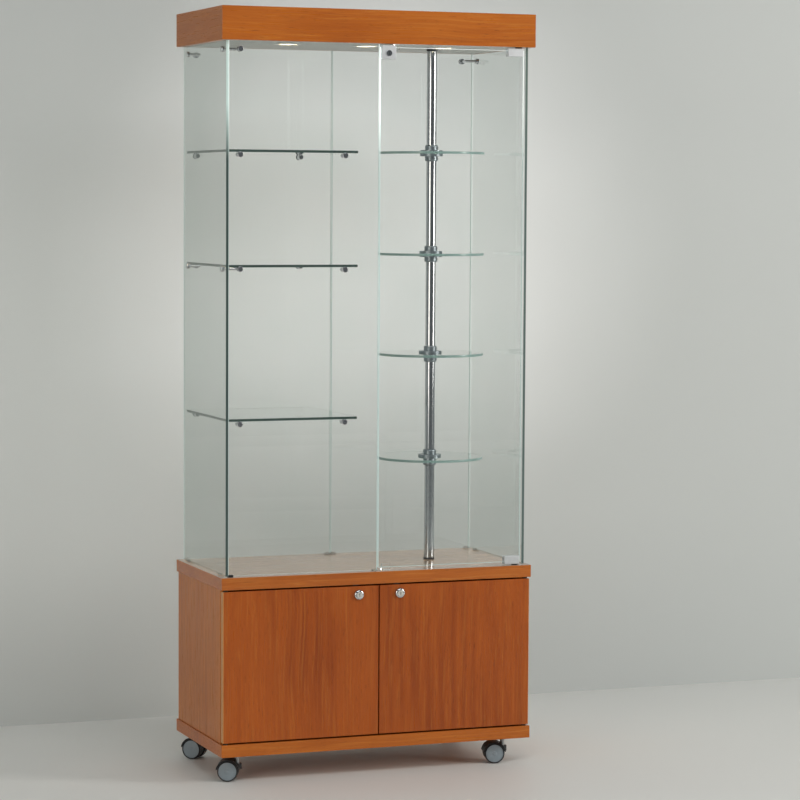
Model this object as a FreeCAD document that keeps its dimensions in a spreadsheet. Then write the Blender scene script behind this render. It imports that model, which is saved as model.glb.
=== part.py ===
import FreeCAD, Part
import math
import operator
import os
from types import SimpleNamespace

import Sketcher

# Glass display case on castors: base cupboard, glass box with fixed and turning shelves, lit canopy.
# The frame stands on the floor at the middle of the case, with the front towards -Y and +Z up.
# Every size is in millimetres and is set in this table, which fills the document's sheet.

SIZES = {
    "case_width": (800, "width of the boards and of the canopy"),
    "case_depth": (380, "depth of the boards and of the canopy"),
    "board": (30, "thickness of the bottom and top boards"),
    "cupboard_height": (372, "clear height between the two boards"),
    "glass_height": (1272, "display floor to the ceiling panel"),
    "canopy_height": (80, "height of the canopy boards"),
    "edge_round": (1, "rounding of the edges of boards and fittings"),
    "arris": (0.5, "rounding of the ground edges of the glass"),
    "running_gap": (0.05, "radial clearance of a pin or plug in its hole"),
    "face_gap": (0.3, "clearance between faces that pass each other"),
    "side_inset": (4, "cupboard walls behind the edges of the boards"),
    "side_wall": (18, "thickness of the cupboard sides"),
    "back_wall": (8, "thickness of the cupboard back"),
    "base_door": (18, "thickness of the cupboard doors"),
    "base_door_gap": (5, "gap between a cupboard door and the walls behind it"),
    "base_door_setback": (1, "cupboard door face behind the front of the boards"),
    "door_reveal": (4, "gap above and below a cupboard door"),
    "door_split": (3, "gap between the two cupboard doors"),
    "base_pin_radius": (3, "pivot pin of a cupboard door"),
    "base_pin_reach": (12, "depth of the pivot pin in the board and in the door"),
    "base_collar_radius": (6, "thrust collar of the pivot pin"),
    "base_lock_inset": (53, "cupboard lock from the middle of the case"),
    "base_lock_drop": (24.5, "cupboard lock below the top board"),
    "rose_radius": (12.5, "chrome rose of a cupboard lock"),
    "rose_height": (7, "rose standing out of the door"),
    "rose_round": (4.8, "rounding of the rose's front edge"),
    "barrel_radius": (9.5, "lock barrel in the door"),
    "plug_radius": (7, "turning plug of a lock"),
    "plug_proud": (0.6, "plug standing out of the rose"),
    "key_slot_width": (2.4, "key slot in a plug"),
    "key_slot_height": (9, "key slot in a plug"),
    "key_slot_depth": (5, "key slot in a plug"),
    "cam_length": (21, "lock cam from its axis to its tip"),
    "cam_width": (11, "width of the lock cam"),
    "sheet_steel": (2, "thickness of cams and strikes"),
    "strike_width": (16, "width of a lock strike"),
    "strike_drop": (16, "lock strike below the top board"),
    "strike_length": (20, "strike's leg under the top board"),
    "cam_clearance": (1, "lock barrel, strike and cam apart"),
    "pane": (6, "thickness of all the glass"),
    "glass_inset": (14, "outer face of the glass behind the edges of the boards"),
    "pane_joint": (0.5, "gap between panes at a corner"),
    "pane_split": (3, "gap between panes in the middle of the front and of the back"),
    "groove_depth": (8, "panes in the ceiling panel"),
    "shoe_base": (2, "pad under a pane"),
    "shoe_lip": (2, "thickness of a shoe's lips"),
    "shoe_lip_height": (3, "height of a shoe's lips"),
    "shoe_length": (12, "length of a shoe along its pane"),
    "side_shoe_inset": (46, "shoe from the end of a side pane"),
    "disc_radius": (7, "discs of the glass fittings"),
    "disc_height": (4, "inner discs of the glass fittings"),
    "cap_height": (3, "outer caps of the glass fittings"),
    "shank_radius": (4, "shank of a glass fitting in its pane"),
    "shank_gap": (0.3, "shank to the wall of its hole in the pane"),
    "corner_reach": (35, "corner fitting from the outer face of the other pane"),
    "corner_rod_radius": (3.5, "rod of a corner connector"),
    "corner_drop": (20, "upper corner connectors below the ceiling"),
    "peg_radius": (6, "shelf peg"),
    "peg_reach": (16, "shelf peg inside its pane"),
    "peg_inset": (35, "shelf pegs from the ends of a shelf"),
    "shelf_gap": (4.5, "left shelves from the panes"),
    "shelf_end": (52, "free end of the left shelves from the middle of the case"),
    "lower_shelf_rise": (370.5, "left shelf's underside above the display floor"),
    "middle_shelf_rise": (737, "left shelf's underside above the display floor"),
    "upper_shelf_rise": (1010, "left shelf's underside above the display floor"),
    "glass_door_gap": (5, "glass door from the right pane"),
    "glass_door_end": (8, "glass door from the display floor and from the ceiling"),
    "clamp_length": (40, "hinge clamp along the door"),
    "clamp_height": (20, "hinge clamp's height"),
    "clamp_cheek": (6, "hinge clamp beside the glass"),
    "clamp_grip": (0.1, "clamp and lock slots to the glass"),
    "clamp_end": (3, "hinge clamp from the edge of the door"),
    "clamp_screw_radius": (3, "clamp screws"),
    "clamp_screw_spacing": (18, "clamp screws apart"),
    "pivot_inset": (12.5, "pivot axis from the edge of the glass door"),
    "pivot_radius": (4, "glass door pivot pin"),
    "pivot_flange_radius": (8.5, "glass door pivot flange"),
    "pivot_flange": (2.5, "thickness of the pivot flange"),
    "lock_width": (36, "glass door lock along the door"),
    "lock_height": (33, "height of the glass door lock"),
    "lock_front": (10, "glass door lock in front of the glass"),
    "lock_rear": (12, "glass door lock behind the glass"),
    "lock_drop": (3.3, "glass door lock below the ceiling"),
    "door_plug_proud": (2, "plug standing out of the glass door lock"),
    "bolt_radius": (4, "bolt of the glass door lock"),
    "bolt_length": (26, "bolt of the glass door lock"),
    "bolt_hole_gap": (0.6, "bolt to the wall of its hole in the ceiling"),
    "bolt_hole_depth": (9, "bolt hole in the ceiling"),
    "stop_depth": (9, "door stops behind the glass"),
    "floor_stop_width": (23, "lower door stop"),
    "floor_stop_height": (16, "lower door stop"),
    "floor_stop_inset": (13, "lower door stop from the middle of the case"),
    "ceiling_stop_width": (12, "upper door stop"),
    "ceiling_stop_height": (14, "upper door stop"),
    "ceiling_stop_gap": (2.5, "upper door stop from the lock"),
    "column_side": (178, "column's axis from the inner face of the right pane"),
    "tube_radius": (12.5, "column tube outside"),
    "tube_wall": (1.5, "wall of the column tube"),
    "sleeve_wall": (0.5, "sleeve standing out round the foot of the column"),
    "sleeve_height": (36, "sleeve at the foot of the column"),
    "spigot_length": (40, "spigot in the end of the tube"),
    "stub_radius": (6, "bearing stub in the spigot"),
    "stub_length": (30, "bearing stub in the spigot"),
    "bearing_reach": (1, "bearing disc standing out round the column"),
    "bearing_height": (5, "bearing disc"),
    "round_shelf_radius": (132, "turning shelves"),
    "round_rise_one": (254, "turning shelf's underside above the display floor"),
    "round_rise_two": (513, "turning shelf's underside above the display floor"),
    "round_rise_three": (762, "turning shelf's underside above the display floor"),
    "round_rise_four": (1012, "turning shelf's underside above the display floor"),
    "hub_wall": (3.5, "hub collars round the column"),
    "hub_flange_reach": (12.5, "hub flanges standing out of the collars"),
    "hub_flange": (4.5, "thickness of a hub flange"),
    "hub_collar": (17, "hub above and below the glass"),
    "hub_neck": (0.5, "hub's neck to the wall of the hole in the shelf"),
    "hub_round": (3, "rounding of the ends of a hub"),
    "hub_screw_radius": (2.5, "hub screws"),
    "hub_screw_proud": (1.5, "hub screws standing out of the hub"),
    "fascia": (12, "thickness of the canopy boards"),
    "ceiling": (18, "thickness of the ceiling panel"),
    "lid": (10, "thickness of the canopy lid"),
    "lamp_spacing": (200, "downlights apart"),
    "lamp_forward": (75, "downlights in front of the column's axis"),
    "lamp_radius": (24.7, "lamp's front"),
    "lamp_rim": (4, "straight rim of a lamp"),
    "lamp_cone": (26, "height of a lamp's reflector"),
    "lamp_neck_radius": (10, "lamp's neck"),
    "lamp_neck": (8, "height of a lamp's neck"),
    "rim_reach": (5.5, "downlight rim standing out of its collar"),
    "rim_height": (2, "downlight rim below the ceiling"),
    "rim_lip": (1.2, "downlight rim under the edge of the lamp"),
    "rim_wall": (2.5, "wall of the downlight's collar"),
    "rim_collar": (22, "height of the downlight's collar"),
    "transformer_length": (120, "lamp transformer"),
    "transformer_width": (45, "lamp transformer"),
    "transformer_height": (28, "lamp transformer"),
    "foot_length": (12, "lamp transformer's feet"),
    "foot_height": (3, "lamp transformer's feet"),
    "inlet_inset": (80, "power inlet from the right end of the canopy"),
    "inlet_radius": (6, "power inlet in the back board"),
    "inlet_flange_radius": (9, "power inlet's outer flange"),
    "inlet_flange": (3, "thickness of the inlet's flanges"),
    "inlet_bore": (3.5, "cable hole in the power inlet"),
    "castor_side_inset": (54, "castor's swivel axis from the ends of the board"),
    "castor_front_inset": (47, "castor's swivel axis from the front and the back of the board"),
    "castor_trail": (21.5, "wheel axle behind the swivel axis"),
    "front_left_swivel": (24, "degrees the castor has swivelled, clockwise from above"),
    "front_right_swivel": (14, "degrees the castor has swivelled, clockwise from above"),
    "back_left_swivel": (43, "degrees the castor has swivelled, clockwise from above"),
    "back_right_swivel": (30, "degrees the castor has swivelled, clockwise from above"),
    "stem_radius": (5.5, "castor's stem"),
    "stem_reach": (24, "castor's stem in the board"),
    "stem_collar_radius": (8, "stem's collar under the board"),
    "stem_collar": (3, "thickness of the stem's collar"),
    "stem_shoulder_radius": (6.8, "stem's shoulder on the hood"),
    "stem_shoulder": (1.5, "thickness of the stem's shoulder"),
    "king_pin_radius": (3, "swivel pin at the foot of the stem"),
    "king_pin_length": (11, "swivel pin at the foot of the stem"),
    "wheel_radius": (25, "castor wheels"),
    "wheel_width": (18, "castor wheels"),
    "wheel_round": (3, "rounding of the tread"),
    "wheel_gap": (11, "gap between the two wheels of a castor"),
    "wheel_dish_radius": (21, "dished face of a wheel"),
    "wheel_dish": (2, "depth of the dished face"),
    "axle_radius": (3, "castor axle"),
    "axle_reach": (14, "castor axle in each wheel"),
    "hood_clearance": (0.8, "hood to the wheels"),
    "hood_wall": (2.7, "hood over the tread"),
    "hood_setback": (1.2, "hood's open sides behind the outer faces of the wheels"),
    "hood_round": (1.6, "rounding of the hood's shoulders"),
    "hood_drop": (4, "lower edge of the hood above the axle"),
    "hood_headroom": (12.5, "board above the top of the hood"),
    "hood_boss_radius": (11, "hood's boss round the swivel pin"),
    "hood_boss": (13, "height of the hood's boss"),
    "hood_web": (14, "web that carries the axle"),
}

OPERATIONS = {"+": operator.add, "-": operator.sub, "*": operator.mul, "/": operator.truediv}


class Size:
    """A size that keeps its formula on the sheet beside its present value."""

    def __init__(self, text, value):
        self.text = text
        self.value = value

    def __add__(self, other):
        return combine(self, "+", other)

    def __radd__(self, other):
        return combine(other, "+", self)

    def __sub__(self, other):
        return combine(self, "-", other)

    def __rsub__(self, other):
        return combine(other, "-", self)

    def __mul__(self, other):
        return combine(self, "*", other)

    def __rmul__(self, other):
        return combine(other, "*", self)

    def __truediv__(self, other):
        return combine(self, "/", other)

    def __neg__(self):
        return combine(-1, "*", self)


def as_size(number):
    """Wrap a plain number, and leave a size as it is."""
    return number if isinstance(number, Size) else Size(str(number), float(number))


def combine(left, sign, right):
    """Join two sizes in one formula."""
    left = as_size(left)
    right = as_size(right)
    return Size(f"({left.text} {sign} {right.text})", OPERATIONS[sign](left.value, right.value))


doc = FreeCAD.newDocument("DisplayCase")
sheet = doc.addObject("Spreadsheet::Sheet", "Sizes")
for row, (alias, (number, meaning)) in enumerate(SIZES.items(), start=1):
    sheet.set(f"A{row}", meaning)
    sheet.set(f"B{row}", str(number))
    sheet.setAlias(f"B{row}", alias)
doc.recompute()
size = SimpleNamespace(**{alias: Size(f"Sizes.{alias}", number) for alias, (number, _) in SIZES.items()})
nodes = []

# Turns that carry a piece made along +Z into another direction.
ALONG = {
    "+z": FreeCAD.Rotation(),
    "-z": FreeCAD.Rotation(FreeCAD.Vector(1, 0, 0), 180),
    "+x": FreeCAD.Rotation(FreeCAD.Vector(0, 1, 0), 90),
    "-x": FreeCAD.Rotation(FreeCAD.Vector(0, 1, 0), -90),
    "+y": FreeCAD.Rotation(FreeCAD.Vector(1, 0, 0), -90),
    "-y": FreeCAD.Rotation(FreeCAD.Vector(1, 0, 0), 90),
}


def bind(thing, name, number):
    """Tie a property to its formula on the sheet."""
    thing.setExpression(name, as_size(number).text)


def place(thing, spot, along="+z"):
    """Turn a piece and tie its place to the sheet."""
    thing.Placement = FreeCAD.Placement(FreeCAD.Vector(), ALONG[along])
    for axis, number in zip("xyz", spot):
        bind(thing, f"Placement.Base.{axis}", number)
    return thing


def node(piece, label):
    """Hand a finished piece in under its own name."""
    piece.Label = label
    nodes.append(piece)
    return piece


def box(name, low, high):
    """Box between two corners."""
    solid = doc.addObject("Part::Box", name)
    for side, start, end in zip(("Length", "Width", "Height"), low, high):
        bind(solid, side, end - start)
    return place(solid, low)


def rod(name, radius, spot, length, along="+z"):
    """Cylinder that starts at a spot and runs in one direction."""
    solid = doc.addObject("Part::Cylinder", name)
    bind(solid, "Radius", radius)
    bind(solid, "Height", length)
    return place(solid, spot, along)


def eased(solid, radius):
    """Round all twelve edges of a box."""
    result = doc.addObject("Part::Fillet", f"{solid.Name}_eased")
    result.Base = solid
    result.Edges = [(number, radius.value, radius.value) for number in range(1, 13)]
    return result


def fuse(name, solids):
    """Join solids into one."""
    result = doc.addObject("Part::MultiFuse", name)
    result.Shapes = solids
    return result


def cut(name, base, tools):
    """Take tools away from a solid."""
    result = doc.addObject("Part::Cut", name)
    result.Base = base
    result.Tool = tools[0] if len(tools) == 1 else fuse(f"{name}_tools", tools)
    return result


def group(name, solids):
    """Keep separate solids together as one node."""
    result = doc.addObject("Part::Compound", name)
    result.Links = solids
    return result


def outline(body, plane, points):
    """Sketch a closed outline whose corners are tied to the sheet."""
    sketch = body.newObject("Sketcher::SketchObject", f"{body.Name}_outline")
    origin = next(feature for feature in body.Origin.OriginFeatures if feature.Role == plane)
    sketch.AttachmentSupport = (origin, [""])
    sketch.MapMode = "FlatFace"
    corners = [FreeCAD.Vector(as_size(across).value, as_size(up).value, 0) for across, up in points]
    for start, end in zip(corners, corners[1:] + corners[:1]):
        sketch.addGeometry(Part.LineSegment(start, end), False)
    for index, corner in enumerate(points):
        following = (index + 1) % len(points)
        sketch.addConstraint(Sketcher.Constraint("Coincident", index, 2, following, 1))
        for kind, axis, number in zip(("DistanceX", "DistanceY"), (-2, -1), corner):
            if as_size(number).value == 0:
                sketch.addConstraint(Sketcher.Constraint("PointOnObject", index, 1, axis))
                continue
            rule = Sketcher.Constraint(kind, -1, 1, index, 1, as_size(number).value)
            bind(sketch, f"Constraints[{sketch.addConstraint(rule)}]", number)
    return sketch


def turned(name, profile, spot, along="+z"):
    """Body turned from a closed outline of radius and height points."""
    body = doc.addObject("PartDesign::Body", name)
    turn = body.newObject("PartDesign::Revolution", f"{name}_turn")
    turn.Profile = outline(body, "XZ_Plane", profile)
    turn.ReferenceAxis = (turn.Profile[0], ["V_Axis"])
    turn.Angle = 360
    return place(body, spot, along)


def padded(name, points, height, spot):
    """Body with a flat outline, raised by a height."""
    body = doc.addObject("PartDesign::Body", name)
    pad = body.newObject("PartDesign::Pad", f"{name}_pad")
    pad.Profile = outline(body, "XY_Plane", points)
    bind(pad, "Length", height)
    return place(body, spot)


def soften(body, radius, chosen):
    """Round the edges of a body that a rule picks."""
    doc.recompute()
    base = body.Tip
    names = [f"Edge{number}" for number, edge in enumerate(base.Shape.Edges, start=1) if chosen(edge)]
    fillet = body.newObject("PartDesign::Fillet", f"{body.Name}_soft")
    fillet.Base = (base, names)
    bind(fillet, "Radius", radius)
    return body


def ring_of(radius, height):
    """Rule for the round edge of one radius at one height of a turned body."""
    def chosen(edge):
        if not isinstance(edge.Curve, Part.Circle):
            return False
        off_radius = abs(edge.Curve.Radius - as_size(radius).value)
        off_height = abs(edge.BoundBox.Center.z - as_size(height).value)
        return off_radius < 1e-4 and off_height < 1e-4
    return chosen


def longer_than(length):
    """Rule for the straight edges over a length."""
    return lambda edge: edge.Length > as_size(length).value


# Levels and faces that the pieces share.
HALF_W = size.case_width / 2
HALF_D = size.case_depth / 2
AXLE_Z = size.wheel_radius
WHEEL_SPACE = size.wheel_radius + size.hood_clearance
HOOD_RADIUS = WHEEL_SPACE + size.hood_wall
CASTOR_TOP = AXLE_Z + HOOD_RADIUS + size.hood_headroom
CUPBOARD_Z = CASTOR_TOP + size.board
BOARD_UNDER_Z = CUPBOARD_Z + size.cupboard_height
DISPLAY_Z = BOARD_UNDER_Z + size.board
CEILING_Z = DISPLAY_Z + size.glass_height
TOP_Z = CEILING_Z + size.canopy_height
WALL_X = HALF_W - size.side_inset
WALL_BACK_Y = HALF_D - size.side_inset
DOOR_FRONT_Y = size.base_door_setback - HALF_D
DOOR_BACK_Y = DOOR_FRONT_Y + size.base_door
WALL_FRONT_Y = DOOR_BACK_Y + size.base_door_gap
GLASS_X = HALF_W - size.glass_inset
GLASS_Y = HALF_D - size.glass_inset
INNER_X = GLASS_X - size.pane
INNER_Y = GLASS_Y - size.pane
PANE_Z = DISPLAY_Z + size.shoe_base
PANE_TOP_Z = CEILING_Z + size.groove_depth
SIDES = {"left": -1, "right": 1}

# Base cupboard: the pivot pins stand half a door's thickness in from the door's outer edge.
PIN_X = WALL_X - size.base_door / 2
PIN_Y = DOOR_FRONT_Y + size.base_door / 2
PIN_HOLE = size.base_pin_radius + size.running_gap
BASE_DOOR_Z = CUPBOARD_Z + size.door_reveal
BASE_DOOR_TOP_Z = BOARD_UNDER_Z - size.door_reveal
CASTOR_X = HALF_W - size.castor_side_inset
CASTOR_Y = HALF_D - size.castor_front_inset
CASTORS = {"front_left": (-1, -1), "front_right": (1, -1), "back_left": (-1, 1), "back_right": (1, 1)}


def base_boards():
    """Bottom and top boards, with the holes of the door pins and of the castor stems."""
    spots = [(side * PIN_X, PIN_Y) for side in SIDES.values()]
    reach = size.base_pin_reach
    low = (-HALF_W, -HALF_D, CASTOR_TOP)
    bottom = eased(box("bottom_blank", low, (HALF_W, HALF_D, CUPBOARD_Z)), size.edge_round)
    tools = [rod("bottom_pin_hole", PIN_HOLE, (x, y, CUPBOARD_Z - reach), reach) for x, y in spots]
    for side, end in CASTORS.values():
        spot = (side * CASTOR_X, end * CASTOR_Y, CASTOR_TOP)
        tools.append(rod("stem_hole", size.stem_radius + size.running_gap, spot, size.stem_reach))
    node(cut("bottom_board", bottom, tools), "bottom_board")
    low = (-HALF_W, -HALF_D, BOARD_UNDER_Z)
    top = eased(box("top_blank", low, (HALF_W, HALF_D, DISPLAY_Z)), size.edge_round)
    tools = [rod("top_pin_hole", PIN_HOLE, (x, y, BOARD_UNDER_Z), reach) for x, y in spots]
    node(cut("top_board", top, tools), "top_board")


def cupboard_walls():
    """Two sides and a back, standing between the boards."""
    for label, side in SIDES.items():
        outer = side * WALL_X
        inner = outer - side * size.side_wall
        left, right = (outer, inner) if side < 0 else (inner, outer)
        low = (left, WALL_FRONT_Y, CUPBOARD_Z)
        wall = box(f"{label}_wall", low, (right, WALL_BACK_Y, BOARD_UNDER_Z))
        node(eased(wall, size.edge_round), f"{label}_side")
    reach = WALL_X - size.side_wall
    low = (-reach, WALL_BACK_Y - size.back_wall, CUPBOARD_Z)
    node(box("back_wall_panel", low, (reach, WALL_BACK_Y, BOARD_UNDER_Z)), "base_back")


def base_pivots():
    """Four steel pins with thrust collars, fixed in the boards."""
    collar = size.door_reveal - size.face_gap
    profile = [
        (0, -size.base_pin_reach),
        (size.base_pin_radius, -size.base_pin_reach),
        (size.base_pin_radius, 0),
        (size.base_collar_radius, 0),
        (size.base_collar_radius, collar),
        (size.base_pin_radius, collar),
        (size.base_pin_radius, size.door_reveal + size.base_pin_reach - size.face_gap),
        (0, size.door_reveal + size.base_pin_reach - size.face_gap),
    ]
    pins = []
    for side in SIDES.values():
        pins.append(turned("lower_pin", profile, (side * PIN_X, PIN_Y, CUPBOARD_Z)))
        pins.append(turned("upper_pin", profile, (side * PIN_X, PIN_Y, BOARD_UNDER_Z), "-z"))
    node(group("base_pivots", pins), "base_pivots")


LOCK_X = size.base_lock_inset
LOCK_Z = BOARD_UNDER_Z - size.base_lock_drop
BARREL_END = size.base_door + size.cam_clearance
STRIKE_Y = DOOR_FRONT_Y + BARREL_END + size.cam_clearance
CAM_Y = STRIKE_Y + size.sheet_steel + size.cam_clearance


def lock_plug(name, radius, length, spot, along="+y"):
    """Turning plug with a key slot in its front end."""
    blank = rod(f"{name}_blank", radius, spot, length, along)
    x, y, z = spot
    half_w = size.key_slot_width / 2
    half_h = size.key_slot_height / 2
    slot = box(f"{name}_slot", (x - half_w, y, z - half_h), (x + half_w, y + size.key_slot_depth, z + half_h))
    return cut(name, blank, [slot])


def base_doors():
    """Two overlay doors, each bored for its pins and its lock."""
    for label, side in SIDES.items():
        outer = side * WALL_X
        inner = side * size.door_split / 2
        left, right = (outer, inner) if side < 0 else (inner, outer)
        low = (left, DOOR_FRONT_Y, BASE_DOOR_Z)
        blank = eased(box(f"{label}_door_blank", low, (right, DOOR_BACK_Y, BASE_DOOR_TOP_Z)), size.edge_round)
        reach = size.base_pin_reach
        lock_hole = size.barrel_radius + size.running_gap
        lock_spot = (side * LOCK_X, DOOR_FRONT_Y, LOCK_Z)
        tools = [
            rod(f"{label}_low_bore", PIN_HOLE, (side * PIN_X, PIN_Y, BASE_DOOR_Z), reach),
            rod(f"{label}_high_bore", PIN_HOLE, (side * PIN_X, PIN_Y, BASE_DOOR_TOP_Z - reach), reach),
            rod(f"{label}_lock_bore", lock_hole, lock_spot, size.base_door, "+y"),
        ]
        node(cut(f"{label}_base_door", blank, tools), f"{label}_base_door")


def base_locks():
    """Lock body, plug with its cam, and the strikes under the top board."""
    bore = size.plug_radius + size.running_gap
    profile = [
        (bore, -size.rose_height),
        (size.rose_radius, -size.rose_height),
        (size.rose_radius, 0),
        (size.barrel_radius, 0),
        (size.barrel_radius, BARREL_END),
        (bore, BARREL_END),
    ]
    strikes = []
    for label, side in SIDES.items():
        x = side * LOCK_X
        body = turned(f"{label}_lock", profile, (x, DOOR_FRONT_Y, LOCK_Z), "+y")
        soften(body, size.rose_round, ring_of(size.rose_radius, -size.rose_height))
        node(body, f"{label}_lock_body")
        front = DOOR_FRONT_Y - size.rose_height - size.plug_proud
        plug = lock_plug(f"{label}_plug", size.plug_radius, CAM_Y - front, (x, front, LOCK_Z))
        half = size.cam_width / 2
        left, right = (x - size.cam_length, x + half) if side < 0 else (x - half, x + size.cam_length)
        cam_high = (right, CAM_Y + size.sheet_steel, LOCK_Z + half)
        cam = box(f"{label}_cam", (left, CAM_Y, LOCK_Z - half), cam_high)
        node(group(f"{label}_plug_and_cam", [plug, cam]), f"{label}_lock_plug")
        half = size.strike_width / 2
        flange_low = (x - half, STRIKE_Y, BOARD_UNDER_Z - size.strike_drop)
        flange = box(f"{label}_flange", flange_low, (x + half, STRIKE_Y + size.sheet_steel, BOARD_UNDER_Z))
        leg_low = (x - half, STRIKE_Y, BOARD_UNDER_Z - size.sheet_steel)
        leg = box(f"{label}_leg", leg_low, (x + half, STRIKE_Y + size.strike_length, BOARD_UNDER_Z))
        strikes.append(fuse(f"{label}_strike", [flange, leg]))
    node(group("lock_strikes", strikes), "lock_strikes")


# Glass fittings: one list of holes per pane, filled while the pegs and connectors are made.
HOLE = size.shank_radius + size.shank_gap
SHELF_X = -INNER_X + size.shelf_gap
SHELF_END_X = -size.shelf_end
PEG_XS = {"outer": -GLASS_X + size.corner_reach, "inner": SHELF_END_X - size.peg_inset}
SHELF_RISES = {
    "lower": size.lower_shelf_rise,
    "middle": size.middle_shelf_rise,
    "upper": size.upper_shelf_rise,
}
MIDDLE_ROD_Z = DISPLAY_Z + size.middle_shelf_rise - size.corner_rod_radius
TOP_ROD_Z = CEILING_Z - size.corner_drop
CORNERS = [
    (-1, -1, TOP_ROD_Z),
    (-1, 1, TOP_ROD_Z),
    (1, 1, TOP_ROD_Z),
    (-1, -1, MIDDLE_ROD_Z),
    (-1, 1, MIDDLE_ROD_Z),
]
holes = {"left_pane": [], "right_pane": [], "front_pane": [], "back_left_pane": [], "back_right_pane": []}


def across(pane_name, spot, along):
    """Drill a pane for a fitting, from its outer face inwards."""
    holes[pane_name].append(rod(f"{pane_name}_hole", HOLE, spot, size.pane, along))


def shelf_pegs():
    """Chrome pegs through the front and back panes; the middle shelf's outer corners lie on connectors."""
    profile = [
        (0, -size.cap_height),
        (size.disc_radius, -size.cap_height),
        (size.disc_radius, 0),
        (size.shank_radius, 0),
        (size.shank_radius, size.pane),
        (size.peg_radius, size.pane),
        (size.peg_radius, size.pane + size.peg_reach),
        (0, size.pane + size.peg_reach),
    ]
    pegs = []
    for level, rise in SHELF_RISES.items():
        z = DISPLAY_Z + rise - size.peg_radius
        for where, x in PEG_XS.items():
            if level == "middle" and where == "outer":
                continue
            for pane_name, y, along in (("front_pane", -GLASS_Y, "+y"), ("back_left_pane", GLASS_Y, "-y")):
                peg = turned("peg", profile, (x, y, z), along)
                soften(peg, size.edge_round, ring_of(size.disc_radius, -size.cap_height))
                soften(peg, size.edge_round, ring_of(size.peg_radius, size.pane + size.peg_reach))
                pegs.append(peg)
                across(pane_name, (x, y, z), along)
    node(group("shelf_pegs", pegs), "shelf_pegs")


def corner_connectors():
    """Bent rods with discs that tie two panes together at a corner, and their outer caps."""
    cap = [
        (0, -size.cap_height),
        (size.disc_radius, -size.cap_height),
        (size.disc_radius, 0),
        (size.shank_radius, 0),
        (size.shank_radius, size.pane),
        (0, size.pane),
    ]
    pieces = []
    for side, end, z in CORNERS:
        x = side * (GLASS_X - size.corner_reach)
        y = end * (GLASS_Y - size.corner_reach)
        inward_x = "+x" if side < 0 else "-x"
        inward_y = "+y" if end < 0 else "-y"
        reach = size.corner_reach - size.pane
        elbow = place(doc.addObject("Part::Sphere", "elbow"), (x, y, z))
        bind(elbow, "Radius", size.corner_rod_radius)
        pieces.append(fuse("bent_rod", [
            rod("side_rod", size.corner_rod_radius, (side * INNER_X, y, z), reach, inward_x),
            rod("end_rod", size.corner_rod_radius, (x, end * INNER_Y, z), reach, inward_y),
            rod("side_disc", size.disc_radius, (side * INNER_X, y, z), size.disc_height, inward_x),
            rod("end_disc", size.disc_radius, (x, end * INNER_Y, z), size.disc_height, inward_y),
            elbow,
        ]))
        side_pane = "left_pane" if side < 0 else "right_pane"
        end_pane = {(-1, -1): "front_pane", (-1, 1): "back_left_pane", (1, 1): "back_right_pane"}[side, end]
        for pane_name, spot, along in (
            (side_pane, (side * GLASS_X, y, z), inward_x),
            (end_pane, (x, end * GLASS_Y, z), inward_y),
        ):
            piece = turned("corner_cap", cap, spot, along)
            pieces.append(soften(piece, size.edge_round, ring_of(size.disc_radius, -size.cap_height)))
            across(pane_name, spot, along)
    node(group("corner_connectors", pieces), "corner_connectors")


def panes():
    """Side panes run the full depth; the front and back panes stand between them."""
    end_x = INNER_X - size.pane_joint
    middle = size.pane_split / 2
    spans = {
        "left_pane": ((-GLASS_X, -GLASS_Y), (-INNER_X, GLASS_Y)),
        "right_pane": ((INNER_X, -GLASS_Y), (GLASS_X, GLASS_Y)),
        "front_pane": ((-end_x, -GLASS_Y), (-middle, -INNER_Y)),
        "back_left_pane": ((-end_x, INNER_Y), (-middle, GLASS_Y)),
        "back_right_pane": ((middle, INNER_Y), (end_x, GLASS_Y)),
    }
    for label, (low, high) in spans.items():
        blank = eased(box(f"{label}_blank", (*low, PANE_Z), (*high, PANE_TOP_Z)), size.arris)
        node(cut(label, blank, holes[label]), label)


def shoe(x, y, across_x):
    """Black channel under a pane; the flag says whether the pane runs along X."""
    half_run = size.shoe_length / 2
    half_slot = size.pane / 2 + size.clamp_grip
    half_wide = half_slot + size.shoe_lip
    rise = PANE_Z + size.shoe_lip_height

    def block(name, half, low, high):
        span = (half_run, half) if across_x else (half, half_run)
        return box(name, (x - span[0], y - span[1], low), (x + span[0], y + span[1], high))

    slot = block("shoe_slot", half_slot, PANE_Z, rise)
    return cut("shoe", block("shoe_block", half_wide, DISPLAY_Z, rise), [slot])


def pane_shoes():
    """Two shoes under each fixed pane."""
    side_x = GLASS_X - size.pane / 2
    end_y = GLASS_Y - size.pane / 2
    outer = INNER_X - size.pane_joint - size.shoe_length / 2
    inner = size.pane_split / 2 + size.shoe_length / 2
    side_y = GLASS_Y - size.side_shoe_inset
    shoes = [shoe(side * side_x, end * side_y, False) for side in (-1, 1) for end in (-1, 1)]
    shoes += [shoe(-x, -end_y, True) for x in (outer, inner)]
    shoes += [shoe(side * x, end_y, True) for side in (-1, 1) for x in (outer, inner)]
    node(group("pane_shoes", shoes), "pane_shoes")


def left_shelves():
    """Three rectangular shelves lying on the pegs."""
    reach = INNER_Y - size.shelf_gap
    for level, rise in SHELF_RISES.items():
        low = (SHELF_X, -reach, DISPLAY_Z + rise)
        high = (SHELF_END_X, reach, DISPLAY_Z + rise + size.pane)
        node(eased(box(f"{level}_shelf_glass", low, high), size.arris), f"{level}_left_shelf")


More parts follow.
